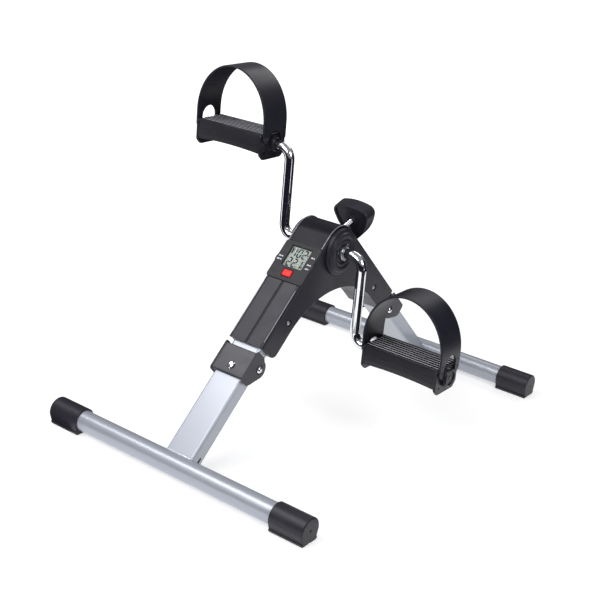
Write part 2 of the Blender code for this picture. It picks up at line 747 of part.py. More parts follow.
def end_plate_outline():
    foot = TREAD_HALF + 0.0008
    cut = 0.006
    return [(foot, TREAD_Z - 0.0025), (-foot, TREAD_Z - 0.0025), (-foot, END_PLATE_Z + cut),
            (-foot + cut, END_PLATE_Z), (foot - cut, END_PLATE_Z), (foot, END_PLATE_Z + cut)]


def strap_mesh():
    """An arched band over the foot, a little wider at both ends."""
    half = PEDAL_L / 2 + GAP
    centre = PEDAL_L / 2
    steps = 24

    def path(half_width, top):
        turns = [math.pi * i / steps for i in range(steps + 1)]
        dome = [(centre - half_width * math.cos(turn),
                 STRAP_BEND_Z + (top - STRAP_BEND_Z) * math.sin(turn)) for turn in turns]
        return [(centre - half_width, STRAP_END_Z)] + dome + [(centre + half_width, STRAP_END_Z)]

    outer = path(half + STRAP_T, STRAP_TOP)
    inner = path(half, STRAP_TOP - STRAP_T)
    mesh = prism([outer + inner[::-1]], -STRAP_W / 2, STRAP_W / 2)
    mesh.transform(Matrix.Rotation(math.pi / 2, 4, "X"))
    return closed(mesh)


def pedals(crank_pivot):
    for hand, turn in HANDS.items():
        z = HUB_Z - turn * THROW
        pivot = axis(f"pedal_axis_{hand}", (0, 0, z))
        pivot.parent = crank_pivot
        pivot.matrix_parent_inverse = Matrix.Translation(-crank_pivot.location)
        flip = Matrix.Rotation(0.0 if turn > 0 else math.pi, 4, "Z")
        place = Matrix.Translation((0, 0, z)) @ flip @ Matrix.Translation((PEDAL_X, 0, 0))
        lengthwise = place @ across()
        body = piece(f"pedal_body_{hand}", prism([tread_section()], 0.001, PEDAL_L - 0.001),
                     lengthwise, PLASTIC, pivot)
        hole = circle((0, 0), ROD_R + 0.0005)
        for start in (0.0, PEDAL_L - PLATE_T):
            plate = prism([end_plate_outline(), hole], start, start + PLATE_T)
            boolean(body, plate, lengthwise, "UNION")
        sleeve = prism([circle((0, 0), SLEEVE_R), hole], -SLEEVE_L, PLATE_T / 2)
        boolean(body, sleeve, lengthwise, "UNION")

        strap = piece(f"pedal_strap_{hand}", strap_mesh(), place, RUBBER, pivot)
        middle = PEDAL_L / 2
        for top, start in ((INNER_NOTCH_Z, -PAST), (NOTCH_Z, middle)):
            notch = arc((0, top), NOTCH_R, 0, 180, 12) + [(-NOTCH_R, -PAST), (NOTCH_R, -PAST)]
            boolean(strap, prism([notch], start, start + middle + PAST), lengthwise)

        near = PEDAL_L + GAP
        cap = [(0, near + 0.0055), (0.0090, near + 0.0055), (0.0122, near + 0.0035), (0.0122, near),
               (0.0095, near), (0.0095, near + 0.0040), (0, near + 0.0040)]
        piece(f"pedal_cap_{hand}", turned(cap), lengthwise, PLASTIC, pivot)


PIVOTS = {side: axis(f"fold_axis_{side}", (0, *on_arm(side, PIVOT_RUN, PIVOT_LIFT))) for side in SIDES}
foot_bars()
legs()
folds()
housing()
screws()
hub_cover()
lower_cover()
console()
bearings()
tension()
pedals(crank())
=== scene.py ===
"""The looks of the folding pedal exerciser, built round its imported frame: satin moulded shells over
silver painted tubes, a chromed crank, ribbed pedals under moulded straps, and a counter.

Metres, in the frame of the CAD part: +Z up, the display side towards -Y, the floor at z = 0.
Both arms are laid out by run, down the slope from the crank's axis, and lift, square to the slope.
"""

from math import acos, asin, cos, degrees, dist, pi, radians, sin, sqrt

import bmesh
import bpy
from mathutils import Matrix, Vector, noise


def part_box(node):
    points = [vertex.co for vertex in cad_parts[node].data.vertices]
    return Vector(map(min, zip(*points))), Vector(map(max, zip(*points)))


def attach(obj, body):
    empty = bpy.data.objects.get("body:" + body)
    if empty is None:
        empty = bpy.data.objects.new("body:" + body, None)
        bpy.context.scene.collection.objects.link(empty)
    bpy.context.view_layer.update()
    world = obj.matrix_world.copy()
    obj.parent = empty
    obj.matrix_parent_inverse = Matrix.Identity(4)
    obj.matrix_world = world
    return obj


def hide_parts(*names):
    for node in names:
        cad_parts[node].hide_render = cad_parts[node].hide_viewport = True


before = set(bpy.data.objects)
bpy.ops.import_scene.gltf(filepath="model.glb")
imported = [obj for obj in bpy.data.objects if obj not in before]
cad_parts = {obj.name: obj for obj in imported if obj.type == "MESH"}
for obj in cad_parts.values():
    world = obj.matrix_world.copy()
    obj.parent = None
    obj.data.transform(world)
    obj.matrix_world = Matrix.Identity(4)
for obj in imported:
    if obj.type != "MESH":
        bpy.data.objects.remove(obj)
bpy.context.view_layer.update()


def middle(node):
    low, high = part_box(node)
    return (low + high) / 2


def size(node):
    low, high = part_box(node)
    return high - low


SIDES = {"front": 1, "rear": -1}
HANDS = {"left": -1, "right": 1}
GAP = 0.0003
SHARP = radians(32)

# Places that come from the frame
HUB_Z = middle("friction_drum").z
FOOT_Y = -middle("foot_bar_front").y
FOOT_Z = middle("foot_bar_front").z
FOOT_R = size("foot_bar_front").z / 2
FOOT_HALF = size("foot_bar_front").x / 2
CAP_INNER_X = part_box("foot_cap_front_right")[0].x
CAP_OUTER_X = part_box("foot_cap_front_right")[1].x
CAP_R = size("foot_cap_front_right").y / 2
HOUSING_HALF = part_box("housing_right")[1].x
DISC_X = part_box("hub_disc_right")[1].x
DISC_R = size("hub_disc_right").z / 2
ROD_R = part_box("crank_rod")[1].y
THROW = HUB_Z - middle("axle_retainer_right").z
SLEEVE_L = 0.007
PEDAL_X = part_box("pedal_body_right")[0].x + SLEEVE_L
PEDAL_L = size("pedal_body_right").x - SLEEVE_L
STRAP_W = size("pedal_strap_right").y
STRAP_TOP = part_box("pedal_strap_right")[1].z - (HUB_Z - THROW)
BRACKET_HALF = size("hinge_bracket_front").x / 2
CONSOLE_HALF = size("console_case").x / 2

# Slope of the arms, and stations along it
SLOPE = radians(43.5)
TUBE_W = size("leg_tube_front").x
TUBE_T = 0.020
TUBE_WALL = 0.0015
TUBE_LIFT = 0.0172
TUBE_CORNER = 0.003
PIVOT_RUN = 0.179
PIVOT_LIFT = 0.0115
BUTTON_RUN = 0.1915
BRACKET_TOP = 0.1672
BRACKET_END = 0.2025
BRACKET_LIFT = 0.0312
BRACKET_WALL = 0.0029
HUB_R = 0.0293
FRONT_LIFT = 0.0295
REAR_LIFT = 0.0318
UNDER_LIFT = -0.0011
ARCH_CROWN_Z = 0.170
HOUSING_END = 0.1588
WALL = 0.002
COVER_LIFT = 0.0312
SCREW_Y = 0.0896
SCREW_Z = 0.1506

# Holes, and half the length of a tool that cuts right through
RIVET_R = 0.003
HUB_HOLE_R = 0.0095
SCREW_HOLE_R = 0.0021
REACH = 0.03

# Console, by run and lift
CONSOLE_TOP = 0.0196
CONSOLE_END = 0.0726
CONSOLE_LIFT = 0.0328
TUB_HALF = 0.0190
WINDOW_HALF = 0.0143
WINDOW_TOP = 0.0251
WINDOW_END = 0.0531
CONSOLE_MID = (CONSOLE_TOP + CONSOLE_END) / 2
WINDOW_V = CONSOLE_MID - (WINDOW_TOP + WINDOW_END) / 2
WINDOW_HALF_V = (WINDOW_END - WINDOW_TOP) / 2
RESET_RUN = 0.0622
RESET_HALF_U = 0.0063
RESET_HALF_V = 0.0043

# Tension knob
KNOB_ANGLE = radians(19.5)
KNOB_BASE = 0.0610
KNOB_T = 0.020
KNOB_R = 0.0285
STEM_R = 0.003


# ---- Outlines ----

def arc(centre, radius, first, last, count):
    """Points on a circle, from one angle to another in degrees."""
    angles = [radians(first + (last - first) * i / count) for i in range(count + 1)]
    return [(centre[0] + radius * cos(a), centre[1] + radius * sin(a)) for a in angles]


def circle(radius, count=48, centre=(0, 0)):
    return arc(centre, radius, 0, 360, count)[:-1]


def rounded_box(half_u, half_v, radius, count=6):
    corners = ((1, 1, 0), (-1, 1, 90), (-1, -1, 180), (1, -1, 270))
    points = []
    for u, v, start in corners:
        centre = (u * (half_u - radius), v * (half_v - radius))
        points += arc(centre, radius, start, start + 90, count)
    return points


def shifted(loop, across_by, up_by):
    return [(u + across_by, v + up_by) for u, v in loop]


def both_sides(half):
    """The right half of an outline, from its foot up, followed by its mirror image."""
    return half + [(-u, v) for u, v in half[::-1]]


def rounded(loop, radius, steps=4):
    """The loop with each corner replaced by a short curve that starts a radius before it."""
    points = []
    for i, corner in enumerate(loop):
        here = Vector(corner)
        back = Vector(loop[i - 1]) - here
        ahead = Vector(loop[(i + 1) % len(loop)]) - here
        first = here + back * min(0.45, radius / back.length)
        last = here + ahead * min(0.45, radius / ahead.length)
        for k in range(steps + 1):
            t = k / steps
            points.append(tuple(first * (1 - t) ** 2 + here * 2 * t * (1 - t) + last * t * t))
    return points


def inset(loop, distance):
    """An anticlockwise loop moved inwards."""
    if distance == 0:
        return loop
    moved = []
    for i, point in enumerate(loop):
        here = Vector(point)
        before = (here - Vector(loop[i - 1])).normalized()
        after = (Vector(loop[(i + 1) % len(loop)]) - here).normalized()
        normals = Vector((-before.y, before.x)) + Vector((-after.y, after.x))
        moved.append(tuple(here + normals * 2 * distance / max(normals.length_squared, 0.5)))
    return moved


# ---- Meshes ----

def mesh_of(form, name):
    """A bmesh, which is freed, as a mesh."""
    mesh = bpy.data.meshes.new(name)
    form.to_mesh(mesh)
    form.free()
    return mesh


def linked(name, data):
    """A new object in the scene."""
    item = bpy.data.objects.new(name, data)
    bpy.context.scene.collection.objects.link(item)
    return item


def loft(rings, loop=False):
    """A skin over rings with the same number of points, closed at its ends or back on itself."""
    form = bmesh.new()
    rows = [[form.verts.new(point) for point in ring] for ring in rings]
    count = len(rows[0])
    for row, following in zip(rows, rows[1:] + rows[:1] if loop else rows[1:]):
        for i in range(count):
            j = (i + 1) % count
            form.faces.new((row[i], row[j], following[j], following[i]))
    if not loop:
        form.faces.new(rows[0][::-1])
        form.faces.new(rows[-1])
    bmesh.ops.remove_doubles(form, verts=form.verts, dist=0.000001)
    bmesh.ops.recalc_face_normals(form, faces=form.faces)
    return mesh_of(form, "form")


def prism(loop, start, end, rims=(0.0, 0.0), steps=3):
    """An anticlockwise outline in local XY from z = start to z = end, its two rims rounded."""
    rings = []
    for z, rim, way in ((start, rims[0], 1), (end, rims[1], -1)):
        turns = [radians(90 * k / steps) for k in range(steps + 1)] if rim else [pi / 2]
        side = [[(*p, z + way * rim * (1 - cos(t))) for p in inset(loop, rim * (1 - sin(t)))]
                for t in turns]
        rings += side[::way]
    return loft(rings)


def through(loop):
    """A tool that cuts an outline right through, along local Z."""
    return prism(loop, -REACH, REACH)


def turned(profile, count=64):
    """A closed profile of (radius, height) turned about local Z."""
    rings = []
    for i in range(count):
        turn = 2 * pi * i / count
        rings.append([(r * cos(turn), r * sin(turn), h) for r, h in profile])
    return loft(rings, loop=True)


def axes(x, y, z):
    """The turn that lays the local axes along three directions."""
    return Matrix((x, y, z)).transposed().to_4x4()


def sweep(section, frames, loop=False):
    """A section in local XY carried through a row of frames."""
    return loft([[at @ Vector((u, v, 0)) for u, v in section] for at in frames], loop)


def stations(path, side):
    """A frame at each point of a path in a plane: local z along it, local x square to the plane."""
    frames = []
    for i, point in enumerate(path):
        ahead = (path[min(i + 1, len(path) - 1)] - path[max(i - 1, 0)]).normalized()
        frames.append(Matrix.Translation(point) @ axes(side, ahead.cross(side), ahead))
    return frames


def placed(mesh, place):
    mesh.transform(place)
    return mesh


def triangulated(mesh):
    """The mesh with its many-sided faces, which may be hollow outlines, cut into triangles."""
    form = bmesh.new()
    form.from_mesh(mesh)
    many_sided = [face for face in form.faces if len(face.verts) > 4]
    bmesh.ops.triangulate(form, faces=many_sided)
    form.to_mesh(mesh)
    form.free()
    return mesh


def combined(mesh, tool, operation="DIFFERENCE"):
    """One closed mesh cut with another, or joined to it."""
    item = linked("item", triangulated(mesh))
    other = linked("other", triangulated(tool))
    change = item.modifiers.new("Change", "BOOLEAN")
    change.operation = operation
    change.object = other
    change.solver = "MANIFOLD"
    graph = bpy.context.evaluated_depsgraph_get()
    result = bpy.data.meshes.new_from_object(item.evaluated_get(graph))
    for thing in (item, other):
        bpy.data.objects.remove(thing)
    return result


def cut(mesh, tool, place=None):
    """A closed mesh less a tool, which is first put in its place."""
    return combined(mesh, tool if place is None else placed(tool, place))


def gathered(meshes):
    """Several separate closed meshes as one."""
    form = bmesh.new()
    for mesh in meshes:
        form.from_mesh(mesh)
    return mesh_of(form, "gathered")


def piece(name, mesh, finish, body, nodes=()):
    """Show a mesh, in the place of the CAD nodes that it stands for."""
    item = linked(name, mesh)
    mesh.materials.clear()
    mesh.materials.append(finish)
    mesh.shade_smooth()
    mesh.set_sharp_from_angle(angle=SHARP)
    even = item.modifiers.new("Even normals", "WEIGHTED_NORMAL")
    even.keep_sharp = True
    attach(item, body)
    if nodes:
        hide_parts(*nodes)
    return item


# ---- Places ----

def moved(x=0.0, y=0.0, z=0.0):
    return Matrix.Translation((x, y, z))


def on_arm(side, run, lift):
    """The (y, z) of a place on the front or rear arm, or on its leg."""
    out = run * cos(SLOPE) + lift * sin(SLOPE)
    return (-SIDES[side] * out, HUB_Z - run * sin(SLOPE) + lift * cos(SLOPE))


def half_turn(sign):
    """What is at the rear or on the left is the front or right one turned round the vertical."""
    return Matrix.Rotation(0.0 if sign > 0 else pi, 4, "Z")


def arm_place(side):
    """Local x across, y outwards from the slope and z down it, from the crank's axis."""
    down = Vector((0, -cos(SLOPE), -sin(SLOPE)))
    out = Vector((0, -sin(SLOPE), cos(SLOPE)))
    return half_turn(SIDES[side]) @ moved(z=HUB_Z) @ axes((1, 0, 0), out, down)


def tube_place(side):
    """Local z down the middle of the leg's tube."""
    return arm_place(side) @ moved(y=TUBE_LIFT)


def across(y=0.0, z=0.0):
    """Local x is +Y, y is +Z and z is +X, from a line across the object."""
    return moved(0, y, z) @ axes((0, 1, 0), (0, 0, 1), (1, 0, 0))


def outwards(side, run):
    """Local x across, y up the slope and z outwards from it."""
    return arm_place(side) @ moved(z=run) @ Matrix.Rotation(-pi / 2, 4, "X")


def knob_place():
    """Local z runs out from the crank's axis along the tension screw."""
    return moved(z=HUB_Z) @ Matrix.Rotation(KNOB_ANGLE - pi / 2, 4, "X")


def pedal_place(hand):
    """Local x runs out along the pedal from its inner end, on its axis."""
    turn = HANDS[hand]
    return moved(z=HUB_Z - turn * THROW) @ half_turn(turn) @ moved(PEDAL_X)


# ---- Finishes ----

CLOUD_RANGE = (0.3, 0.7)


def tuned(node, values):
    """A shader node with numbers set on some of its sockets."""
    for socket, value in values.items():
        node.inputs[socket].default_value = value
    return node


def tree(owner):
    """The nodes and links of a material or of the world."""
    owner.use_nodes = True
    return owner.node_tree.nodes, owner.node_tree.links


def surface(name, colour, roughness, metallic=0.0, mottle=0.10, cloud=70.0, grain=1400.0,
            relief=0.00003, spread=0.05, coat=0.0, shine=0.5):
    """A finish whose colour and gloss wander a little, over a fine moulded or sprayed grain."""
    finish = bpy.data.materials.new(name)
    nodes, links = tree(finish)
    shader = tuned(nodes["Principled BSDF"], {"Metallic": metallic, "Specular IOR Level": shine,
                                              "Coat Weight": coat, "Coat Roughness": 0.12})
    place = nodes.new("ShaderNodeTexCoord")
    clouds = tuned(nodes.new("ShaderNodeTexNoise"),
                   {"Scale": cloud, "Detail": 6.0, "Roughness": 0.65})
    links.new(place.outputs["Object"], clouds.inputs["Vector"])

    tint = nodes.new("ShaderNodeValToRGB")
    low, high = tint.color_ramp.elements
    low.position, high.position = CLOUD_RANGE
    low.color = (*[c * (1 - mottle) for c in colour], 1)
    high.color = (*[min(1.0, c * (1 + mottle)) for c in colour], 1)
    links.new(clouds.outputs["Fac"], tint.inputs["Fac"])
    links.new(tint.outputs["Color"], shader.inputs["Base Color"])

    gloss = tuned(nodes.new("ShaderNodeMapRange"),
                  {"From Min": CLOUD_RANGE[0], "From Max": CLOUD_RANGE[1],
                   "To Min": max(0.02, roughness - spread), "To Max": roughness + spread})
    links.new(clouds.outputs["Fac"], gloss.inputs["Value"])
    links.new(gloss.outputs["Result"], shader.inputs["Roughness"])

    fine = tuned(nodes.new("ShaderNodeTexNoise"), {"Scale": grain, "Detail": 3.0})
    links.new(place.outputs["Object"], fine.inputs["Vector"])
    bump = tuned(nodes.new("ShaderNodeBump"), {"Distance": relief})
    links.new(fine.outputs["Fac"], bump.inputs["Height"])
    links.new(bump.outputs["Normal"], shader.inputs["Normal"])
    return finish


def clear_lens():
    """A thin clear cover: what is behind it shows, under a faint sheen."""
    finish = bpy.data.materials.new("clear_lens")
    nodes, links = tree(finish)
    nodes.remove(nodes["Principled BSDF"])
    clear = nodes.new("ShaderNodeBsdfTransparent")
    sheen = tuned(nodes.new("ShaderNodeBsdfGlossy"), {"Roughness": 0.12})
    both = tuned(nodes.new("ShaderNodeMixShader"), {"Fac": 0.004})
    links.new(clear.outputs["BSDF"], both.inputs[1])
    links.new(sheen.outputs["BSDF"], both.inputs[2])
    links.new(both.outputs["Shader"], nodes["Material Output"].inputs["Surface"])
    return finish


SHELL = surface("moulded_shell", (0.018, 0.017, 0.024), 0.34, relief=0.00005, shine=0.22)
# The hub cover is the housing's moulded plastic made darker: painted shade.
HUB_SHADE = surface("shade_painted_hub", (0.008, 0.008, 0.012), 0.34, relief=0.00005, shine=0.12)
PANEL = surface("grained_panel", (0.020, 0.020, 0.024), 0.50, grain=1100.0, relief=0.00012,
                shine=0.25)
TREAD = surface("moulded_tread", (0.009, 0.009, 0.013), 0.34, relief=0.00001, shine=0.35)
# The pedal's rib crests are painted light grey: a painted highlight along each crest, not wear.
RIB_HIGHLIGHT = surface("painted_rib_highlight", (0.260, 0.260, 0.290), 0.30, relief=0.00001)
# The pedal's rib walls are painted near black: painted shade between the ribs.
GROOVE_SHADE = surface("painted_groove_shade", (0.003, 0.003, 0.004), 0.60, relief=0.00001, shine=0.1)
BAND = surface("moulded_band", (0.010, 0.010, 0.016), 0.38, cloud=30.0, relief=0.00003, shine=0.3)
CAP = surface("rubber_cap", (0.017, 0.016, 0.023), 0.42, relief=0.00006, shine=0.3)
CLEVIS = surface("coated_bracket", (0.021, 0.021, 0.029), 0.34, relief=0.00004, shine=0.4)
# Light grey beads along the covers' edges on the black plastic: a painted highlight.
EDGE_HIGHLIGHT = surface("painted_edge_highlight", (0.15, 0.15, 0.18), 0.20, relief=0.00001, shine=0.8)
PAINT = surface("silver_paint", (0.34, 0.36, 0.41), 0.34, 0.35, mottle=0.05, cloud=900.0,
                grain=3200.0, relief=0.00001, coat=0.3)
BEAD = surface("painted_weld", (0.50, 0.52, 0.58), 0.30, 0.35, mottle=0.12, cloud=400.0,
               relief=0.00008)
CHROME = surface("chrome", (0.80, 0.81, 0.84), 0.05, 1.0, mottle=0.02, relief=0.000002, spread=0.02)
STEEL = surface("zinc_steel", (0.52, 0.53, 0.55), 0.30, 1.0, mottle=0.08, cloud=300.0,
                relief=0.00001)
RED = surface("red_button", (0.70, 0.017, 0.012), 0.40, mottle=0.05, relief=0.00002, shine=0.25)
LCD = surface("lcd_face", (0.27, 0.31, 0.28), 0.45, mottle=0.03, cloud=25.0, relief=0.000005,
              shine=0.12)
INK = surface("lcd_ink", (0.006, 0.008, 0.009), 0.50, mottle=0.05, relief=0.000002, shine=0.1)
MARKS = surface("printed_marks", (0.50, 0.51, 0.53), 0.50, mottle=0.05, relief=0.00001)
BOARD = surface("solder_mask", (0.02, 0.15, 0.06), 0.40, mottle=0.15)
LENS = clear_lens()

KEPT_NODES = {
    SHELL: ("reed_sensor",),
    CAP: ("brake_shoe",),
    PAINT: ("frame_arm_front", "frame_arm_rear"),
    STEEL: ("friction_drum", "sensor_magnet", "battery_cell", "tension_nut_plate",
            "bearing_plate_left", "bearing_plate_right", "lock_spring_front", "lock_spring_rear",
            "axle_retainer_left", "axle_retainer_right"),
    BOARD: ("circuit_board",),
}


# ---- Stand ----

def cap_outline():
    """A round top on straight sides and a flat base, anticlockwise."""
    foot = 0.0120
    return arc((0, 0), CAP_R, -12, 192, 36) + \
        rounded([(-CAP_R + 0.0012, -FOOT_Z + 0.004), (-foot, -FOOT_Z), (foot, -FOOT_Z),
                 (CAP_R - 0.0012, -FOOT_Z + 0.004)], 0.0016)


def foot_bars():
    bore = prism(circle(FOOT_R - 0.0015, 64), -1, 1)
    for side, sign in SIDES.items():
        body = f"{side}_leg"
        bar = cut(prism(circle(FOOT_R, 64), -FOOT_HALF, FOOT_HALF, (0.0004, 0.0004)), bore)
        piece(f"painted_foot_bar_{side}", placed(bar, across(-sign * FOOT_Y, FOOT_Z)), PAINT, body,
              [f"foot_bar_{side}"])
        for hand, turn in HANDS.items():
            cap = prism(cap_outline(), CAP_INNER_X, CAP_OUTER_X, (0.0007, 0.0016), 4)
            cap = cut(cap, prism(circle(FOOT_R + GAP, 64), 0, FOOT_HALF + GAP))
            groove = rounded(both_sides([(0.0028, -REACH), (0.0022, 0.0014 - FOOT_Z)]), 0.0006)
            cap = cut(cap, prism(groove, 0, 1))
            dimple = [(0, 0.01), (0.0019, 0.01), (0.0014, -0.0012), (0.0008, -0.0030), (0, -0.0030)]
            cap = cut(cap, turned(dimple, 24), moved(z=CAP_OUTER_X))
            place = moved(0, -sign * FOOT_Y, FOOT_Z) @ half_turn(turn) @ across()
            piece(f"rubber_foot_cap_{side}_{hand}", placed(cap, place), CAP, body,
                  [f"foot_cap_{side}_{hand}"])


def foot_station():
    """The foot bar's centre as (run, lift) on its leg."""
    drop = HUB_Z - FOOT_Z
    return (FOOT_Y * cos(SLOPE) + drop * sin(SLOPE),
            FOOT_Y * sin(SLOPE) - drop * cos(SLOPE))


def weld_bead(face_lift, half_length):
    """The rippled bead where a face of the leg meets the foot bar, as a mesh on the arm."""
    run, lift = foot_station()
    offset = face_lift - lift
    run -= sqrt(FOOT_R ** 2 - offset ** 2)
    count = 90
    rings = []
    for i in range(count + 1):
        x = half_length * (2 * i / count - 1)
        ripple = 0.00022 * abs(sin(x * 1900)) + 0.0002 * noise.noise(Vector((x * 400, 0, 0)))
        ends = sqrt(max(0.0, 1 - (x / half_length) ** 8))
        radius = (0.0017 + ripple) * max(0.15, ends)
        sway = 0.0003 * noise.noise(Vector((x * 250, 3, 0)))
        centre = Vector((x, face_lift - 0.0002, run - 0.0002 + sway))
        rings.append([centre + Vector((0, v * 0.9, u * 1.2)) for u, v in circle(radius, 14)])
    return loft(rings)


def legs():
    foot_run = foot_station()[0]
    knuckle_r = TUBE_LIFT + TUBE_T / 2 - PIVOT_LIFT - 0.0001
    round_end = arc((PIVOT_RUN, PIVOT_LIFT), knuckle_r, 90, 270, 32)
    far = 0.04
    above = [(PIVOT_RUN, far)] + round_end + [(PIVOT_RUN, -far), (PIVOT_RUN - far, -far),
                                              (PIVOT_RUN - far, far)]
    for side, sign in SIDES.items():
        outer = rounded_box(TUBE_W / 2, TUBE_T / 2, TUBE_CORNER, 8)
        inner = rounded_box(TUBE_W / 2 - TUBE_WALL, TUBE_T / 2 - TUBE_WALL,
                            TUBE_CORNER - TUBE_WALL, 4)
        leg = placed(prism(outer, PIVOT_RUN - 0.02, foot_run - 0.0075), tube_place(side))
        leg = cut(leg, prism(inner, 0, 1), tube_place(side))
        trim = [on_arm(side, run, lift) for run, lift in above]
        leg = cut(leg, through(trim), across())
        leg = cut(leg, through(circle(FOOT_R + GAP, 96)), across(-sign * FOOT_Y, FOOT_Z))
        leg = cut(leg, through(circle(RIVET_R, 32)), across(*on_arm(side, PIVOT_RUN, PIVOT_LIFT)))
        leg = cut(leg, prism(circle(0.0058, 32), 0.024, 0.034), outwards(side, BUTTON_RUN))
        slot_place = across(*on_arm(side, foot_run - 0.0165, TUBE_LIFT - 0.0022)) @ \
            Matrix.Rotation(-sign * (pi / 2 - SLOPE), 4, "Z")
        leg = cut(leg, through(rounded_box(0.0018, 0.0044, 0.0017)), slot_place)
        body = f"{side}_leg"
        piece(f"painted_leg_{side}", leg, PAINT, body, [f"leg_tube_{side}"])
        bead = placed(weld_bead(TUBE_LIFT + TUBE_T / 2, TUBE_W / 2 - 0.0012), arm_place(side))
        piece(f"weld_bead_{side}", bead, BEAD, body)


def brackets():
    """The clevis over each fold, its rivet and its lock button."""
    lobe = arc((PIVOT_RUN, PIVOT_LIFT), 0.0092, 180, 315, 16)
    cheek = [(BRACKET_TOP, BRACKET_LIFT), (BRACKET_TOP, PIVOT_LIFT + 0.004)] + lobe + [
        (BRACKET_END - 0.004, 0.0145), (BRACKET_END, 0.0185), (BRACKET_END, BRACKET_LIFT)]
    for side, sign in SIDES.items():
        loop = rounded([on_arm(side, run, lift) for run, lift in cheek], 0.0016)
        pivot = across(*on_arm(side, PIVOT_RUN, PIVOT_LIFT))
        button_place = outwards(side, BUTTON_RUN)
        shell = placed(prism(loop if sign > 0 else loop[::-1], -BRACKET_HALF, BRACKET_HALF,
                             (0.0024, 0.0024), 5), across())
        half = BRACKET_HALF - BRACKET_WALL
        high = TUBE_LIFT + TUBE_T / 2 + GAP
        slot = both_sides([(half, -REACH), (half, high)])
        shell = cut(shell, prism(slot, BRACKET_TOP - REACH, BRACKET_END + REACH), arm_place(side))
        shell = cut(shell, through(circle(RIVET_R, 32)), pivot)
        for turn in HANDS.values():
            ring = [(0, 0.03), (0.0060, 0.03), (0.0060, BRACKET_HALF - 0.0004),
                    (0.0055, BRACKET_HALF - 0.0012), (0, BRACKET_HALF - 0.0012)]
            ring = [(radius, turn * height) for radius, height in ring]
            shell = cut(shell, turned(ring, 48), pivot)
        well = [(0, 0.02), (0.0055, 0.02), (0.0055, 0.0300), (0.0043, 0.0300), (0.0043, 0.0306),
                (0.0050, 0.0313), (0.0050, 0.04), (0, 0.04)]
        shell = cut(shell, turned(well, 48), button_place)
        piece(f"fold_bracket_{side}", shell, CLEVIS, "housing", [f"hinge_bracket_{side}"])

        head = BRACKET_HALF + GAP
        dome = shifted([(0, 0.0022), (0.0016, 0.0021), (0.0029, 0.0016), (0.0038, 0.0008),
                        (0.0042, 0), (0.0027, 0)], 0, head)
        profile = dome + [(r, -h) for r, h in dome[::-1]]
        piece(f"domed_rivet_{side}", placed(turned(profile, 32), pivot), CHROME, "housing",
              [f"hinge_rivet_{side}"])

        button = [(0, 0.0337), (0.0026, 0.03366), (0.0034, 0.0334), (0.0038, 0.0328),
                  (0.0040, 0.0318), (0.0040, 0.0297), (0.0052, 0.0297), (0.0052, 0.0286),
                  (0, 0.0286)]
        piece(f"spring_button_{side}", placed(turned(button, 40), button_place), CHROME,
              f"{side}_lock_button", [f"lock_button_{side}"])


# ---- Housing ----

def housing_outline():
    """The side view, anticlockwise in (y, z) from the front arm's underside."""
    slope = degrees(SLOPE)
    drop = UNDER_LIFT - cos(SLOPE) * (ARCH_CROWN_Z - HUB_Z)
    arch_r = drop / (1 - cos(SLOPE))
    arch = arc((0, ARCH_CROWN_Z - arch_r), arch_r, 90 + slope, 90 - slope, 32)
    round_r = 0.009
    heel = arc((HOUSING_END - round_r, UNDER_LIFT + round_r), round_r, -90, 0, 8)
    toe = arc((HOUSING_END - 0.002, FRONT_LIFT - 0.002), 0.002, 0, 90, 3)
    rear_toe = arc((HOUSING_END - 0.002, REAR_LIFT - 0.002), 0.002, 0, 90, 3)
    hub = arc((0, HUB_Z), HUB_R, 90 + slope, 90 - slope, 40)[1:]
    rear = [on_arm("rear", run, lift) for run, lift in heel + rear_toe + [(-0.002, REAR_LIFT)]]
    front = [on_arm("front", run, lift) for run, lift in heel + toe + [(0.0, FRONT_LIFT)]]
    return arch + rear + hub[::-1] + front[::-1]


def housing():
    outline = housing_outline()
    cavity = inset(outline, WALL)
    counterbore = 0.0042
    for hand, turn in HANDS.items():
        seam, outer = GAP / 2, HOUSING_HALF
        if turn > 0:
            shell = prism(outline, seam, outer, (0.0, 0.0014))
            hollow = prism(cavity, -0.01, outer - WALL)
        else:
            shell = prism(outline, -outer, -seam, (0.0014, 0.0))
            hollow = prism(cavity, WALL - outer, 0.01)
        shell = cut(placed(shell, across()), hollow, across())
        for side in SIDES:
            tube = prism(rounded_box(TUBE_W / 2 + GAP, TUBE_T / 2 + GAP, TUBE_CORNER),
                         HOUSING_END - 0.02, HOUSING_END + 0.02)
            shell = cut(shell, tube, tube_place(side))
        opening = both_sides([(TUB_HALF + GAP, 0.02), (TUB_HALF + GAP, 0.04)])
        opening = prism(opening, CONSOLE_TOP + 0.0027, CONSOLE_END - 0.0027)
        shell = cut(shell, opening, arm_place("front"))
        shell = cut(shell, through(circle(HUB_HOLE_R)), across(0, HUB_Z))
        shell = cut(shell, prism(circle(STEM_R + 0.001, 32), 0.022, 0.045), knob_place())
        for sign in (-1, 1):
            place = across(sign * SCREW_Y, SCREW_Z)
            shell = cut(shell, through(circle(SCREW_HOLE_R, 24)), place)
            well = [(0, 0.0243), (counterbore, 0.0243), (counterbore, 0.0252),
                    (counterbore + 0.0007, 0.0258), (counterbore + 0.0007, 0.03), (0, 0.03)]
            well = [(r, turn * h) for r, h in well]
            shell = cut(shell, turned(well, 40), place)
        piece(f"moulded_housing_{hand}", shell, SHELL, "housing", [f"housing_{hand}"])


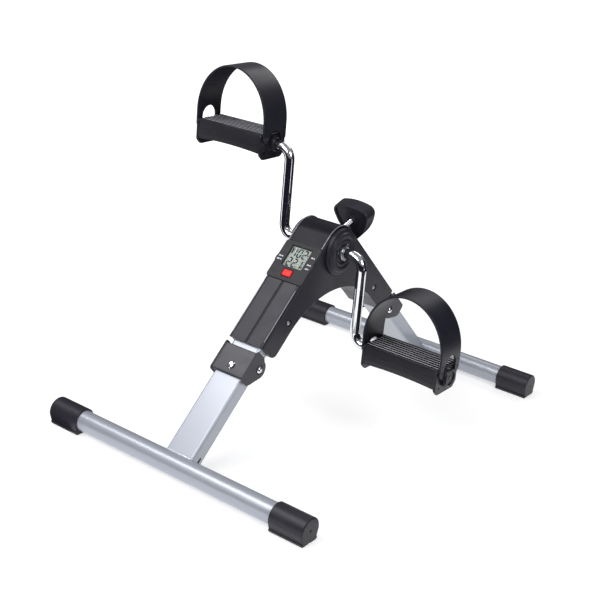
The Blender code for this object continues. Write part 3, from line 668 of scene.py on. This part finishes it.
def screws():
    """Long screws through both halves, each with a cross-recessed head on the right."""
    head_x = HOUSING_HALF - 0.0002
    head = [(0, 0), (0.0009, -0.00006), (0.0018, -0.00025), (0.0026, -0.0006), (0.0029, -0.0009),
            (0.0018, -0.0009)]
    profile = shifted(head, 0, head_x) + [(0.0018, -head_x), (0, -head_x)]
    for side, sign in SIDES.items():
        screw = turned(profile, 32)
        for turn in (0, 90):
            slot = both_sides([(0.0017, -0.0003), (0.0017, 0.0003)])
            slot = prism(slot, head_x - 0.0005, head_x + 0.01)
            screw = cut(screw, slot, Matrix.Rotation(radians(turn + 30), 4, "Z"))
        piece(f"cross_head_screw_{side}", placed(screw, across(-sign * SCREW_Y, SCREW_Z)), STEEL,
              "housing", [f"housing_screw_{side}"])


def hub_cover():
    """The rounded cap over the crank, with a raised lip along each side."""
    slope = degrees(SLOPE)
    half = HOUSING_HALF - 0.0002
    low, high = COVER_LIFT - 0.0012, COVER_LIFT + 0.0001
    lip = high + 0.0005
    section = both_sides([(half, low), (half, lip), (half - 0.0014, lip), (half - 0.0024, high)])
    section = rounded(section, 0.0006, 3)
    arm, foot = arm_place("front"), CONSOLE_TOP - GAP
    frames = [arm @ moved(z=foot - foot * i / 6) for i in range(6)]
    sweep_angle = 2 * slope - 3
    for i in range(49):
        turn = Matrix.Rotation(-radians(sweep_angle * i / 48), 4, "X")
        frames.append(moved(z=HUB_Z) @ turn @ moved(z=-HUB_Z) @ arm)
    # The cover takes the darker copy of the shell plastic: painted shade.
    piece("moulded_hub_cover", sweep(section, frames), HUB_SHADE, "housing", ["hub_cover"])
    # Along each lip a light grey bead: a painted highlight.
    for hand, turn in HANDS.items():
        edge_highlight_bead(f"hub_cover_highlight_{hand}", turn * (half - 0.0009), lip, frames)


def edge_highlight_bead(name, centre_x, lift, path, radius=0.0007):
    """A thin rounded bead run along a moulded edge through frames on the arm, in a light grey that is
    a painted highlight.
    """
    at_edge = moved(centre_x, lift)
    bead = sweep(circle(radius, 10), [frame_place @ at_edge for frame_place in path])
    piece(name, bead, EDGE_HIGHLIGHT, "housing")


def lower_cover():
    """The plate below the console, with a groove down its middle and a ridge along each side."""
    low, high = FRONT_LIFT + GAP, COVER_LIFT + 0.0002
    half = HOUSING_HALF - 0.0012
    ridge = high + 0.0006
    section = both_sides([(half, low), (half, ridge), (half - 0.0016, ridge), (half - 0.0028, high),
                          (0.0016, high), (0.0005, high - 0.0009)])
    section = rounded(section, 0.0005, 3)
    start, end = CONSOLE_END + GAP, HOUSING_END + 0.0012
    frames = [arm_place("front") @ moved(z=start + (end - start) * i / 12) for i in range(13)]
    plate = sweep(section, frames)
    plan = placed(prism(rounded_box(half + 0.01, (end - start) / 2, 0.0105, 6), 0.02, 0.04),
                  outwards("front", (start + end) / 2))
    plate = combined(plate, plan, "INTERSECT")
    piece("grooved_lower_cover", plate, SHELL, "housing", ["lower_cover"])
    # Along each ridge a light grey bead: a painted highlight.
    for hand, turn in HANDS.items():
        edge_highlight_bead(f"lower_cover_highlight_{hand}", turn * (half - 0.0009), ridge, frames[1:-1], 0.0006)


# ---- Console ----

def console_outline():
    """A rounded square with a shallow ear halfway down each side."""
    corner_r = 0.0035
    half_v = (CONSOLE_END - CONSOLE_TOP) / 2
    half_u = CONSOLE_HALF
    ear_r, ear_out = 0.0105, 0.0011
    reach = degrees(acos((ear_r - ear_out) / ear_r))
    loop = []
    for turn in (1, -1):
        centre = (turn * (half_u - ear_r + ear_out), 0)
        facing = 0 if turn > 0 else 180
        ear = arc(centre, ear_r, facing - reach, facing + reach, 10)
        u, v = turn * (half_u - corner_r), turn * (half_v - corner_r)
        upper = arc((u, v), corner_r, facing, facing + 90, 6)
        lower = arc((-u, v), corner_r, facing + 90, facing + 180, 6)
        loop += ear + upper + lower
    return loop


def stepped_box(half_u, half_v, radius, rows, centre_v, count):
    """A skin over rounded boxes, each grown by a step and set at a lift."""
    rings = []
    for grow, lift in rows:
        ring = rounded_box(half_u + grow, half_v + grow, max(0.0004, radius + grow), count)
        rings.append([(u, v + centre_v, lift) for u, v in ring])
    return loft(rings)


def console_case():
    place = outwards("front", CONSOLE_MID)
    base = FRONT_LIFT + GAP
    case = prism(console_outline(), base, CONSOLE_LIFT, (0.0, 0.0008), 4)
    tub_half = (CONSOLE_END - CONSOLE_TOP) / 2 - 0.0030
    tub = both_sides([(TUB_HALF, -tub_half), (TUB_HALF, tub_half)])
    case = combined(case, prism(tub, 0.0125, base + 0.001), "UNION")
    case = cut(case, prism(inset(tub, 0.0015), 0.0, base + 0.0005))

    sink = ((0.0, 0.02), (0.0, base + 0.0010), (0.0002, CONSOLE_LIFT - 0.0006),
            (0.0013, CONSOLE_LIFT + 0.0004), (0.0013, 0.05))
    case = cut(case, stepped_box(WINDOW_HALF, WINDOW_HALF_V, 0.0006, sink, WINDOW_V, 3))

    reset_v = CONSOLE_MID - RESET_RUN
    well = ((0.0, 0.02), (0.0, CONSOLE_LIFT - 0.0010), (0.0006, CONSOLE_LIFT - 0.0008),
            (0.0012, CONSOLE_LIFT + 0.0002), (0.0012, 0.05))
    case = cut(case, stepped_box(RESET_HALF_U + GAP, RESET_HALF_V + GAP, 0.0012, well, reset_v, 5))
    piece("grained_console", placed(case, place), PANEL, "housing", ["console_case"])

    crown = ((0.0, 0.0286), (0.0, CONSOLE_LIFT + 0.0002), (-0.0002, CONSOLE_LIFT + 0.0006),
             (-0.0007, CONSOLE_LIFT + 0.0009), (-0.0022, CONSOLE_LIFT + 0.0010))
    button = stepped_box(RESET_HALF_U, RESET_HALF_V, 0.0014, crown, reset_v, 5)
    piece("crowned_reset_button", placed(button, place), RED, "reset_button", ["reset_button"])


SEGMENTS = {"a": ((0, 2), (1, 2)), "b": ((1, 2), (1, 1)), "c": ((1, 1), (1, 0)),
            "d": ((0, 0), (1, 0)), "e": ((0, 1), (0, 0)), "f": ((0, 2), (0, 1)),
            "g": ((0, 1), (1, 1))}
DIGITS = {"0": "abcdef", "1": "bc", "2": "abged"}


def bar(start, end, width, low, high):
    """A thin bar between two points with pointed ends, as an LCD's segment is."""
    along = (end - start).normalized()
    side = Vector((-along.y, along.x)) * width / 2
    start, end = start + along * width * 0.08, end - along * width * 0.08
    tip = along * width / 2
    loop = [start, start + tip - side, end - tip - side, end, end - tip + side, start + tip + side]
    return prism([tuple(p) for p in loop], low, high)


def number(text, right, base, tall, low, high):
    """Slanted seven-segment figures that end at the given right edge."""
    wide, pitch, width, slant = tall * 0.42, tall * 0.72, tall * 0.17, 0.04
    shapes = []
    left = right - wide
    for figure in reversed(text):
        if figure == ".":
            dot = rounded_box(width * 0.5, width * 0.5, width * 0.3, 3)
            centre = left + pitch - (pitch - wide) / 2 - width * 0.1
            shapes.append(prism(shifted(dot, centre, base + width * 0.3), low, high))
            continue
        for segment in DIGITS[figure]:
            ends = [Vector((left + u * wide + slant * v * tall / 2, base + v * tall / 2))
                    for u, v in SEGMENTS[segment]]
            shapes.append(bar(*ends, width, low, high))
        left -= pitch
    return shapes


def display():
    """The LCD under its clear cover, with plain figures, and the printed marks round it."""
    place = outwards("front", CONSOLE_MID)
    face = 0.0298
    glass = shifted(rounded_box(0.0156, WINDOW_HALF_V + 0.0010, 0.0006, 3), 0, WINDOW_V)
    piece("lcd_panel", placed(prism(glass, 0.0278, face, (0.0002, 0.0002)), place), LCD, "housing",
          ["display_panel"])

    low, high = face + 0.00004, face + 0.00012
    tall = 0.0108
    right = WINDOW_HALF * 0.62
    shapes = number("102", right, WINDOW_V + 0.0014, tall, low, high)
    shapes += number("22.1", right, WINDOW_V - 0.0122, tall, low, high)
    for v in (WINDOW_V + 0.0068, WINDOW_V - 0.0096):
        tip, back = right + 0.0036, right + 0.0014
        shapes.append(prism([(back, v - 0.0011), (tip, v), (back, v + 0.0011)], low, high))
    tag = rounded_box(0.0012, 0.0040, 0.0002, 2)
    shapes.append(prism(shifted(tag, 0.0022 - WINDOW_HALF, WINDOW_V + 0.0084), low, high))
    piece("lcd_figures", placed(gathered(shapes), place), INK, "housing")

    cover = shifted(rounded_box(WINDOW_HALF - GAP, WINDOW_HALF_V - GAP, 0.0005, 3), 0, WINDOW_V)
    piece("clear_window", placed(prism(cover, face + 0.0004, face + 0.0012, (0.0, 0.0002)), place),
          LENS, "housing", ["display_lens"])

    marks = []
    low, high = CONSOLE_LIFT - 0.00002, CONSOLE_LIFT + 0.00010
    rows = ((-0.0212, 0.0430, 0.0062), (-0.0212, 0.0476, 0.0068), (0.0212, 0.0342, 0.0050),
            (0.0212, 0.0443, 0.0056), (0.0212, 0.0498, 0.0046))
    for centre_u, run, width in rows:
        v = CONSOLE_MID - run
        for start, end in ((0.0, 0.56), (0.68, 1.0)):
            left, stop = centre_u + width * (start - 0.5), centre_u + width * (end - 0.5)
            dash = rounded_box((stop - left) / 2, 0.0009, 0.0004, 3)
            marks.append(prism(shifted(dash, (left + stop) / 2, v), low, high))
    piece("console_marks", placed(gathered(marks), place), MARKS, "housing")


# ---- Crank, hub and knob ----

def crank_rod():
    end, arm_x, bend_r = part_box("crank_rod")[1].x, 0.060, 0.015
    corners = [Vector((-end, THROW)), Vector((-arm_x, THROW)), Vector((-arm_x, 0)),
               Vector((arm_x, 0)), Vector((arm_x, -THROW)), Vector((end, -THROW))]
    path = [corners[0]]
    for before, corner, after in zip(corners, corners[1:], corners[2:]):
        back, ahead = (before - corner).normalized(), (after - corner).normalized()
        centre = corner + (back + ahead) * bend_r
        for step in range(17):
            turn = radians(90 * step / 16)
            path.append(centre - ahead * bend_r * cos(turn) - back * bend_r * sin(turn))
    path.append(corners[-1])
    points = [Vector((p.x, 0, HUB_Z + p.y)) for p in path]
    rod = sweep(circle(ROD_R, 40), stations(points, Vector((0, 1, 0))))
    piece("chromed_crank", rod, CHROME, "crank", ["crank_rod"])


def hub_discs():
    """The stepped disc on each side of the hub, its small bolts, and the bearing round the rod."""
    inner = [(0.0093, 0), (DISC_R, 0), (DISC_R, 0.0034), (DISC_R - 0.0014, 0.0046),
             (0.0252, 0.0050)]
    steps = [(0.0238, 0), (0.0196, 0), (0.0186, -0.0012), (0.0160, -0.0012), (0.0152, -0.0003),
             (0.0142, -0.0003), (0.0132, -0.0024), (0.0093, -0.0024)]
    loop = shifted(inner, 0, HOUSING_HALF + GAP) + shifted(steps, 0, DISC_X)
    for hand, turn in HANDS.items():
        place = moved(z=HUB_Z) @ half_turn(turn) @ across()
        disc = turned(rounded(loop[::-1], 0.0007, 3), 96)
        piece(f"stepped_hub_disc_{hand}", placed(disc, place), SHELL, "housing",
              [f"hub_disc_{hand}"])
        bolts = []
        for k in range(3):
            angle = radians(120 * k + 50)
            bolt = circle(0.0013, 6, (0.0112 * cos(angle), 0.0112 * sin(angle)))
            bolts.append(prism(bolt, DISC_X - 0.0026, DISC_X - 0.0010, (0.0, 0.0003)))
        piece(f"hub_bolts_{hand}", placed(gathered(bolts), place), STEEL, "housing")
        bore, outer = ROD_R + GAP, 0.0090
        ring = [(bore, 0.0175), (0.0110, 0.0175), (0.0110, 0.0200), (outer, 0.0200),
                (outer, 0.0342), (outer - 0.0008, 0.0345), (0.0078, 0.0345), (0.0076, 0.0338),
                (0.0070, 0.0338), (0.0069, 0.0343), (bore, 0.0343)]
        piece(f"hub_bearing_{hand}", placed(turned(rounded(ring[::-1], 0.0002, 2), 64), place),
              STEEL, "housing", [f"crank_bush_{hand}"])


def knob_outline(shrink=0.0):
    """A rounded triangle with one corner down and slightly bowed sides, anticlockwise."""
    corner, bow_r = 0.0095, 0.067
    out = KNOB_R - corner
    turns = (90, 210, 330)
    centres = [(out * cos(radians(turn)), out * sin(radians(turn))) for turn in turns]
    span = dist(*centres[:2])
    lean = degrees(asin(span / 2 / (bow_r - corner)))
    back = sqrt((bow_r - corner) ** 2 - (span / 2) ** 2) - out / 2
    points = []
    for centre, facing in zip(centres, turns):
        points += arc(centre, corner, facing - 60 + lean, facing + 60 - lean, 10)
        side = radians(facing + 60)
        hollow = (-back * cos(side), -back * sin(side))
        points += arc(hollow, bow_r, facing + 60 - lean, facing + 60 + lean, 8)[1:-1]
    return inset(points, shrink)


def knob_skin(rows):
    """A skin over knob outlines, each shrunk and set at a height over the knob's base."""
    return loft([[(*p, KNOB_BASE + z) for p in knob_outline(shrink)] for shrink, z in rows])


def tension_knob():
    place = knob_place()
    knob = knob_skin(((0.0012, 0), (0.0006, 0.0002), (0.0002, 0.0008), (0.0, 0.0020),
                      (0.0, KNOB_T - 0.0040), (0.0004, KNOB_T - 0.0022), (0.0014, KNOB_T - 0.0009),
                      (0.0030, KNOB_T - 0.0002), (0.0050, KNOB_T)))
    knob = cut(knob, knob_skin(((0.0026, -0.001), (0.0030, 0.0006), (0.0036, 0.0022))))
    boss = [(0, -0.0001), (0.0060, -0.0001), (0.0066, 0.0004), (0.0068, 0.0012), (0.0090, 0.0013),
            (0.0094, 0.0040), (0, 0.0040)]
    knob = combined(knob, turned(shifted(boss, 0, KNOB_BASE), 48), "UNION")
    knob = cut(knob, prism(circle(STEM_R + GAP, 32), KNOB_BASE - 0.01, KNOB_BASE + 0.008))
    piece("lobed_knob", placed(knob, place), SHELL, "tension_knob", ["tension_knob"])

    start, stop, pitch, depth = 0.0252, KNOB_BASE + 0.0077, 0.00125, 0.00045
    rows = int((stop - start) / pitch * 8)
    rings = []
    for i in range(rows + 1):
        z = start + (stop - start) * i / rows
        ring = []
        for k in range(24):
            phase = (z / pitch - k / 24) % 1.0
            radius = STEM_R - depth * abs(2 * phase - 1)
            turn = 2 * pi * k / 24
            ring.append((radius * cos(turn), radius * sin(turn), z))
        rings.append(ring)
    piece("threaded_stem", placed(loft(rings), place), CHROME, "tension_knob", ["tension_screw"])


# ---- Pedals ----

TREAD_Z = 0.014
TREAD_HALF = 0.022
SKIRT_Z = -0.011
PEDAL_WALL = 0.0025
RIBS = 8
RIB_DEPTH = 0.0024
END_PLATE_Z = -0.019
END_PLATE_T = 0.003


def pedal_section(along):
    """The pedal's outline at a share of its length: a sunk tread over bulging skirts."""
    rim = 0.0024
    low = SKIRT_Z + 0.0022 * (1 - (2 * along - 1) ** 2)
    bottom = TREAD_Z - RIB_DEPTH
    half = [(-PEDAL_WALL, bottom - PEDAL_WALL), (-PEDAL_WALL, low), (0.0010, low),
            (0.0018, low + 0.006), (0.0016, low + 0.012), (0.0006, TREAD_Z - 0.0030),
            (-0.0004, TREAD_Z), (-rim, TREAD_Z), (-rim, bottom)]
    return rounded(both_sides(shifted(half, TREAD_HALF, 0)), 0.0004, 2)


def end_plate():
    """A square plate with its lower corners cut."""
    side, corner = TREAD_HALF + 0.0020, 0.0065
    half = [(side - corner, END_PLATE_Z), (side, END_PLATE_Z + corner), (side, TREAD_Z - 0.0015)]
    return rounded(both_sides(half), 0.0022, 4)


def pedal_body(hand):
    rings = []
    steps = 16
    for i in range(steps + 1):
        share = i / steps
        x = 0.001 + (PEDAL_L - 0.002) * share
        rings.append([(*p, x) for p in pedal_section(share)])
    body = loft(rings)
    for start in (0.0, PEDAL_L - END_PLATE_T):
        plate = prism(end_plate(), start, start + END_PLATE_T, (0.0006, 0.0006))
        body = combined(body, plate, "UNION")
    sleeve = [(0, -SLEEVE_L), (0.0080, -SLEEVE_L), (0.0088, 0.0008 - SLEEVE_L), (0.0088, -0.0012),
              (0.0096, 0.0002), (0.0096, 0.0015), (0, 0.0015)]
    body = combined(body, turned(sleeve, 48), "UNION")
    body = cut(body, prism(circle(ROD_R + 0.0005, 40), -0.01, PEDAL_L + 0.01))
    for u in (-0.0155, 0.0155):
        body = cut(body, prism(circle(0.0014, 16, (u, -0.0105)), -0.01, PEDAL_L + 0.01))
    place = pedal_place(hand) @ across()
    piece(f"ribbed_pedal_{hand}", placed(body, place), TREAD, f"{hand}_pedal",
          [f"pedal_body_{hand}"])

    pitch = 2 * TREAD_HALF / RIBS
    # Rib walls, painted near black as shade between the ribs.
    wall = both_sides([(0.0012, -0.0001), (0.0009, RIB_DEPTH)])
    # Rib crests, painted light grey as a highlight.
    crest = both_sides([(0.0010, RIB_DEPTH - 0.0001), (0.0006, RIB_DEPTH + 0.0003)])
    crest = rounded(crest, 0.0002, 2)
    for name, loop, finish in (("shade_painted_ribs", wall, GROOVE_SHADE), ("highlight_painted_crests", crest, RIB_HIGHLIGHT)):
        ribs = []
        for k in range(1, RIBS):
            rib = shifted(loop, k * pitch - TREAD_HALF, TREAD_Z - RIB_DEPTH)
            ribs.append(prism(rib, END_PLATE_T - 0.0005, PEDAL_L - END_PLATE_T + 0.0005))
        piece(f"{name}_{hand}", placed(gathered(ribs), place), finish, f"{hand}_pedal")


def pedal_strap(hand):
    """The band over the foot, forked at both ends round the axle, with a hole in each prong."""
    thickness, bend_z, end_z = 0.0025, 0.025, 0.002
    half = PEDAL_L / 2 + GAP + thickness / 2
    centre, top = PEDAL_L / 2, STRAP_TOP - thickness / 2
    path = [Vector((centre - half, 0, end_z + (bend_z - end_z) * i / 8)) for i in range(8)]
    for i in range(65):
        turn = pi * i / 64
        path.append(Vector((centre - half * cos(turn), 0, bend_z + (top - bend_z) * sin(turn))))
    path += [Vector((2 * centre - p.x, 0, p.z)) for p in path[:8][::-1]]
    section = rounded_box(STRAP_W / 2, thickness / 2, 0.0008, 3)
    band = sweep(section, stations(path, Vector((0, 1, 0))))
    notch_r = 0.0127
    for top, start in ((0.0035, -0.02), (0.015, centre)):
        notch = arc((0, top), notch_r, 0, 180, 32) + [(-notch_r, -0.02), (notch_r, -0.02)]
        band = cut(band, prism(notch, start, start + centre + 0.02), across())
    corner = 0.006
    for sign in (-1, 1):
        outer = sign * STRAP_W / 2
        clip = [(outer + sign * 0.001, end_z - 0.001), (outer - sign * corner, end_z - 0.001),
                (outer + sign * 0.001, end_z + corner)]
        band = cut(band, prism(clip[::sign], -0.02, PEDAL_L + 0.02), across())
        peg_u = sign * (notch_r + STRAP_W / 2) / 2
        for z in (0.0105, 0.0185):
            band = cut(band, prism(circle(0.0011, 20, (peg_u, z)), -0.02, PEDAL_L + 0.02), across())
    piece(f"forked_strap_{hand}", placed(band, pedal_place(hand)), BAND, f"{hand}_pedal",
          [f"pedal_strap_{hand}"])


def pedal_cap(hand):
    """The round boss over the axle's end: a ring, a dished face and a middle button."""
    loop = [(0, 0.0050), (0.0026, 0.0050), (0.0034, 0.0044), (0.0080, 0.0040), (0.0088, 0.0055),
            (0.0102, 0.0055), (0.0118, 0.0040), (0.0122, 0.0020), (0.0122, 0), (0.0098, 0),
            (0.0098, 0.0036), (0, 0.0036)]
    cap = turned(shifted(loop, 0, PEDAL_L + GAP), 64)
    place = pedal_place(hand) @ across()
    piece(f"dished_pedal_cap_{hand}", placed(cap, place), TREAD, f"{hand}_pedal",
          [f"pedal_cap_{hand}"])


# ---- Stage ----

def floor():
    """A pale floor that glows a little, more strongly away from the object: painted light, which
    keeps the shadows light.
    """
    half = 300.0
    mesh = bpy.data.meshes.new("floor")
    mesh.from_pydata([(-half, -half, 0), (half, -half, 0), (half, half, 0), (-half, half, 0)], [],
                     [(0, 1, 2, 3)])
    finish = surface("pale_floor", (0.55, 0.55, 0.555), 0.60, mottle=0.004, cloud=3.0, relief=0.0)
    nodes, links = tree(finish)
    shader = tuned(nodes["Principled BSDF"], {"Emission Color": (1.0, 1.0, 1.0, 1.0)})
    place = nodes.new("ShaderNodeTexCoord")
    away = nodes.new("ShaderNodeVectorMath")
    away.operation = "LENGTH"
    # The floor's glow rises from 0.56 near the object to 1.0 further out: painted light.
    glow = tuned(nodes.new("ShaderNodeMapRange"),
                 {"From Min": 0.35, "From Max": 1.30, "To Min": 0.56, "To Max": 1.0})
    links.new(place.outputs["Object"], away.inputs[0])
    links.new(away.outputs["Value"], glow.inputs["Value"])
    links.new(glow.outputs["Result"], shader.inputs["Emission Strength"])
    mesh.materials.append(finish)
    ground = linked("floor", mesh)
    ground.location.z = -0.0001


def softbox(name, place, target, across_m, energy):
    lamp = bpy.data.lights.new(name, "AREA")
    lamp.shape = "RECTANGLE"
    lamp.size, lamp.size_y = across_m
    lamp.energy = energy
    box = linked(name, lamp)
    box.location = place
    box.rotation_euler = (Vector(target) - Vector(place)).to_track_quat("-Z", "Y").to_euler()


def reflection_cards():
    """Dark cards round the object, seen only in reflections, for the bands in the chrome.

    Each is given by the directions it spans in degrees, its radii and its heights."""
    cards = ((80, 198, 0.30, 0.62, 0.0004, 0.0004), (213, 239, 0.28, 0.62, 0.0004, 0.0004),
             (317, 357, 0.20, 0.62, 0.0004, 0.0004),
             (10, 100, 0.62, 0.62, 0.0, 0.55), (112, 200, 0.62, 0.62, 0.0, 0.40),
             (216, 360, 0.62, 0.62, 0.0, 0.32))
    form = bmesh.new()
    for first, last, near, far, low, high in cards:
        steps = int((last - first) / 6)
        for i in range(steps):
            turns = [radians(first + (last - first) * (i + k) / steps) for k in (0, 1)]
            inner = [form.verts.new((near * cos(a), near * sin(a), low)) for a in turns]
            outer = [form.verts.new((far * cos(a), far * sin(a), high)) for a in turns]
            form.faces.new((inner[0], inner[1], outer[1], outer[0]))
    mesh = mesh_of(form, "reflection_cards")
    mesh.materials.append(surface("card", (0.012, 0.012, 0.020), 0.9, shine=0.0))
    cards = linked("reflection_cards", mesh)
    cards.visible_camera = cards.visible_diffuse = cards.visible_shadow = False


def lighting():
    """Soft boxes over a dim, even surround: one behind, one high at the left, a key in front, and a
    fill at the right."""
    target = Vector((0, 0, 0.15))
    boxes = (("back", 98, 44, (0.9, 0.55), 4), ("top", 222, 51, (0.9, 0.6), 11),
             ("key", 265, 36, (0.9, 0.7), 12), ("fill", 350, 34, (0.6, 0.6), 11))
    for name, facing, lift, across_m, energy in boxes:
        turn, rise = radians(facing), radians(lift)
        away = Vector((cos(turn) * cos(rise), sin(turn) * cos(rise), sin(rise)))
        softbox(name, target + away * 1.6, target, across_m, energy)

    world = bpy.data.worlds.new("surround")
    nodes, links = tree(world)
    place = nodes.new("ShaderNodeTexCoord")
    split = nodes.new("ShaderNodeSeparateXYZ")
    ramp = nodes.new("ShaderNodeValToRGB")
    links.new(place.outputs["Generated"], split.inputs["Vector"])
    links.new(split.outputs["Z"], ramp.inputs["Fac"])
    low, high = ramp.color_ramp.elements
    low.color = (0.55, 0.55, 0.60, 1)
    high.position = 0.9
    glow = tuned(nodes["Background"], {"Strength": 0.34})
    links.new(ramp.outputs["Color"], glow.inputs["Color"])
    bpy.context.scene.world = world
    bpy.context.scene.view_settings.view_transform = "Standard"


def camera():
    """The photograph's view: 35.5 degrees round to the right, 21.3 up, and a little rolled."""
    azimuth, elevation, roll = radians(35.51), radians(21.31), radians(5.03)
    distance, target = 1.31795, Vector((0.04467, -0.0993, 0.1885))
    back = Vector((sin(azimuth) * cos(elevation), -cos(azimuth) * cos(elevation), sin(elevation)))
    right = Vector((cos(azimuth), sin(azimuth), 0))
    up = back.cross(right)
    right, up = right * cos(roll) + up * sin(roll), up * cos(roll) - right * sin(roll)
    lens = bpy.data.cameras.new("camera")
    lens.sensor_width = 36.0
    lens.lens = 69.19
    eye = linked("camera", lens)
    eye.matrix_world = Matrix.Translation(target + back * distance) @ axes(right, up, back)
    bpy.context.scene.camera = eye


foot_bars()
legs()
brackets()
housing()
screws()
hub_cover()
lower_cover()
console_case()
display()
crank_rod()
hub_discs()
tension_knob()
for hand in HANDS:
    pedal_body(hand)
    pedal_strap(hand)
    pedal_cap(hand)
for finish, names in KEPT_NODES.items():
    for name in names:
        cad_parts[name].data.materials.clear()
        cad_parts[name].data.materials.append(finish)

camera()
lighting()
reflection_cards()
floor()
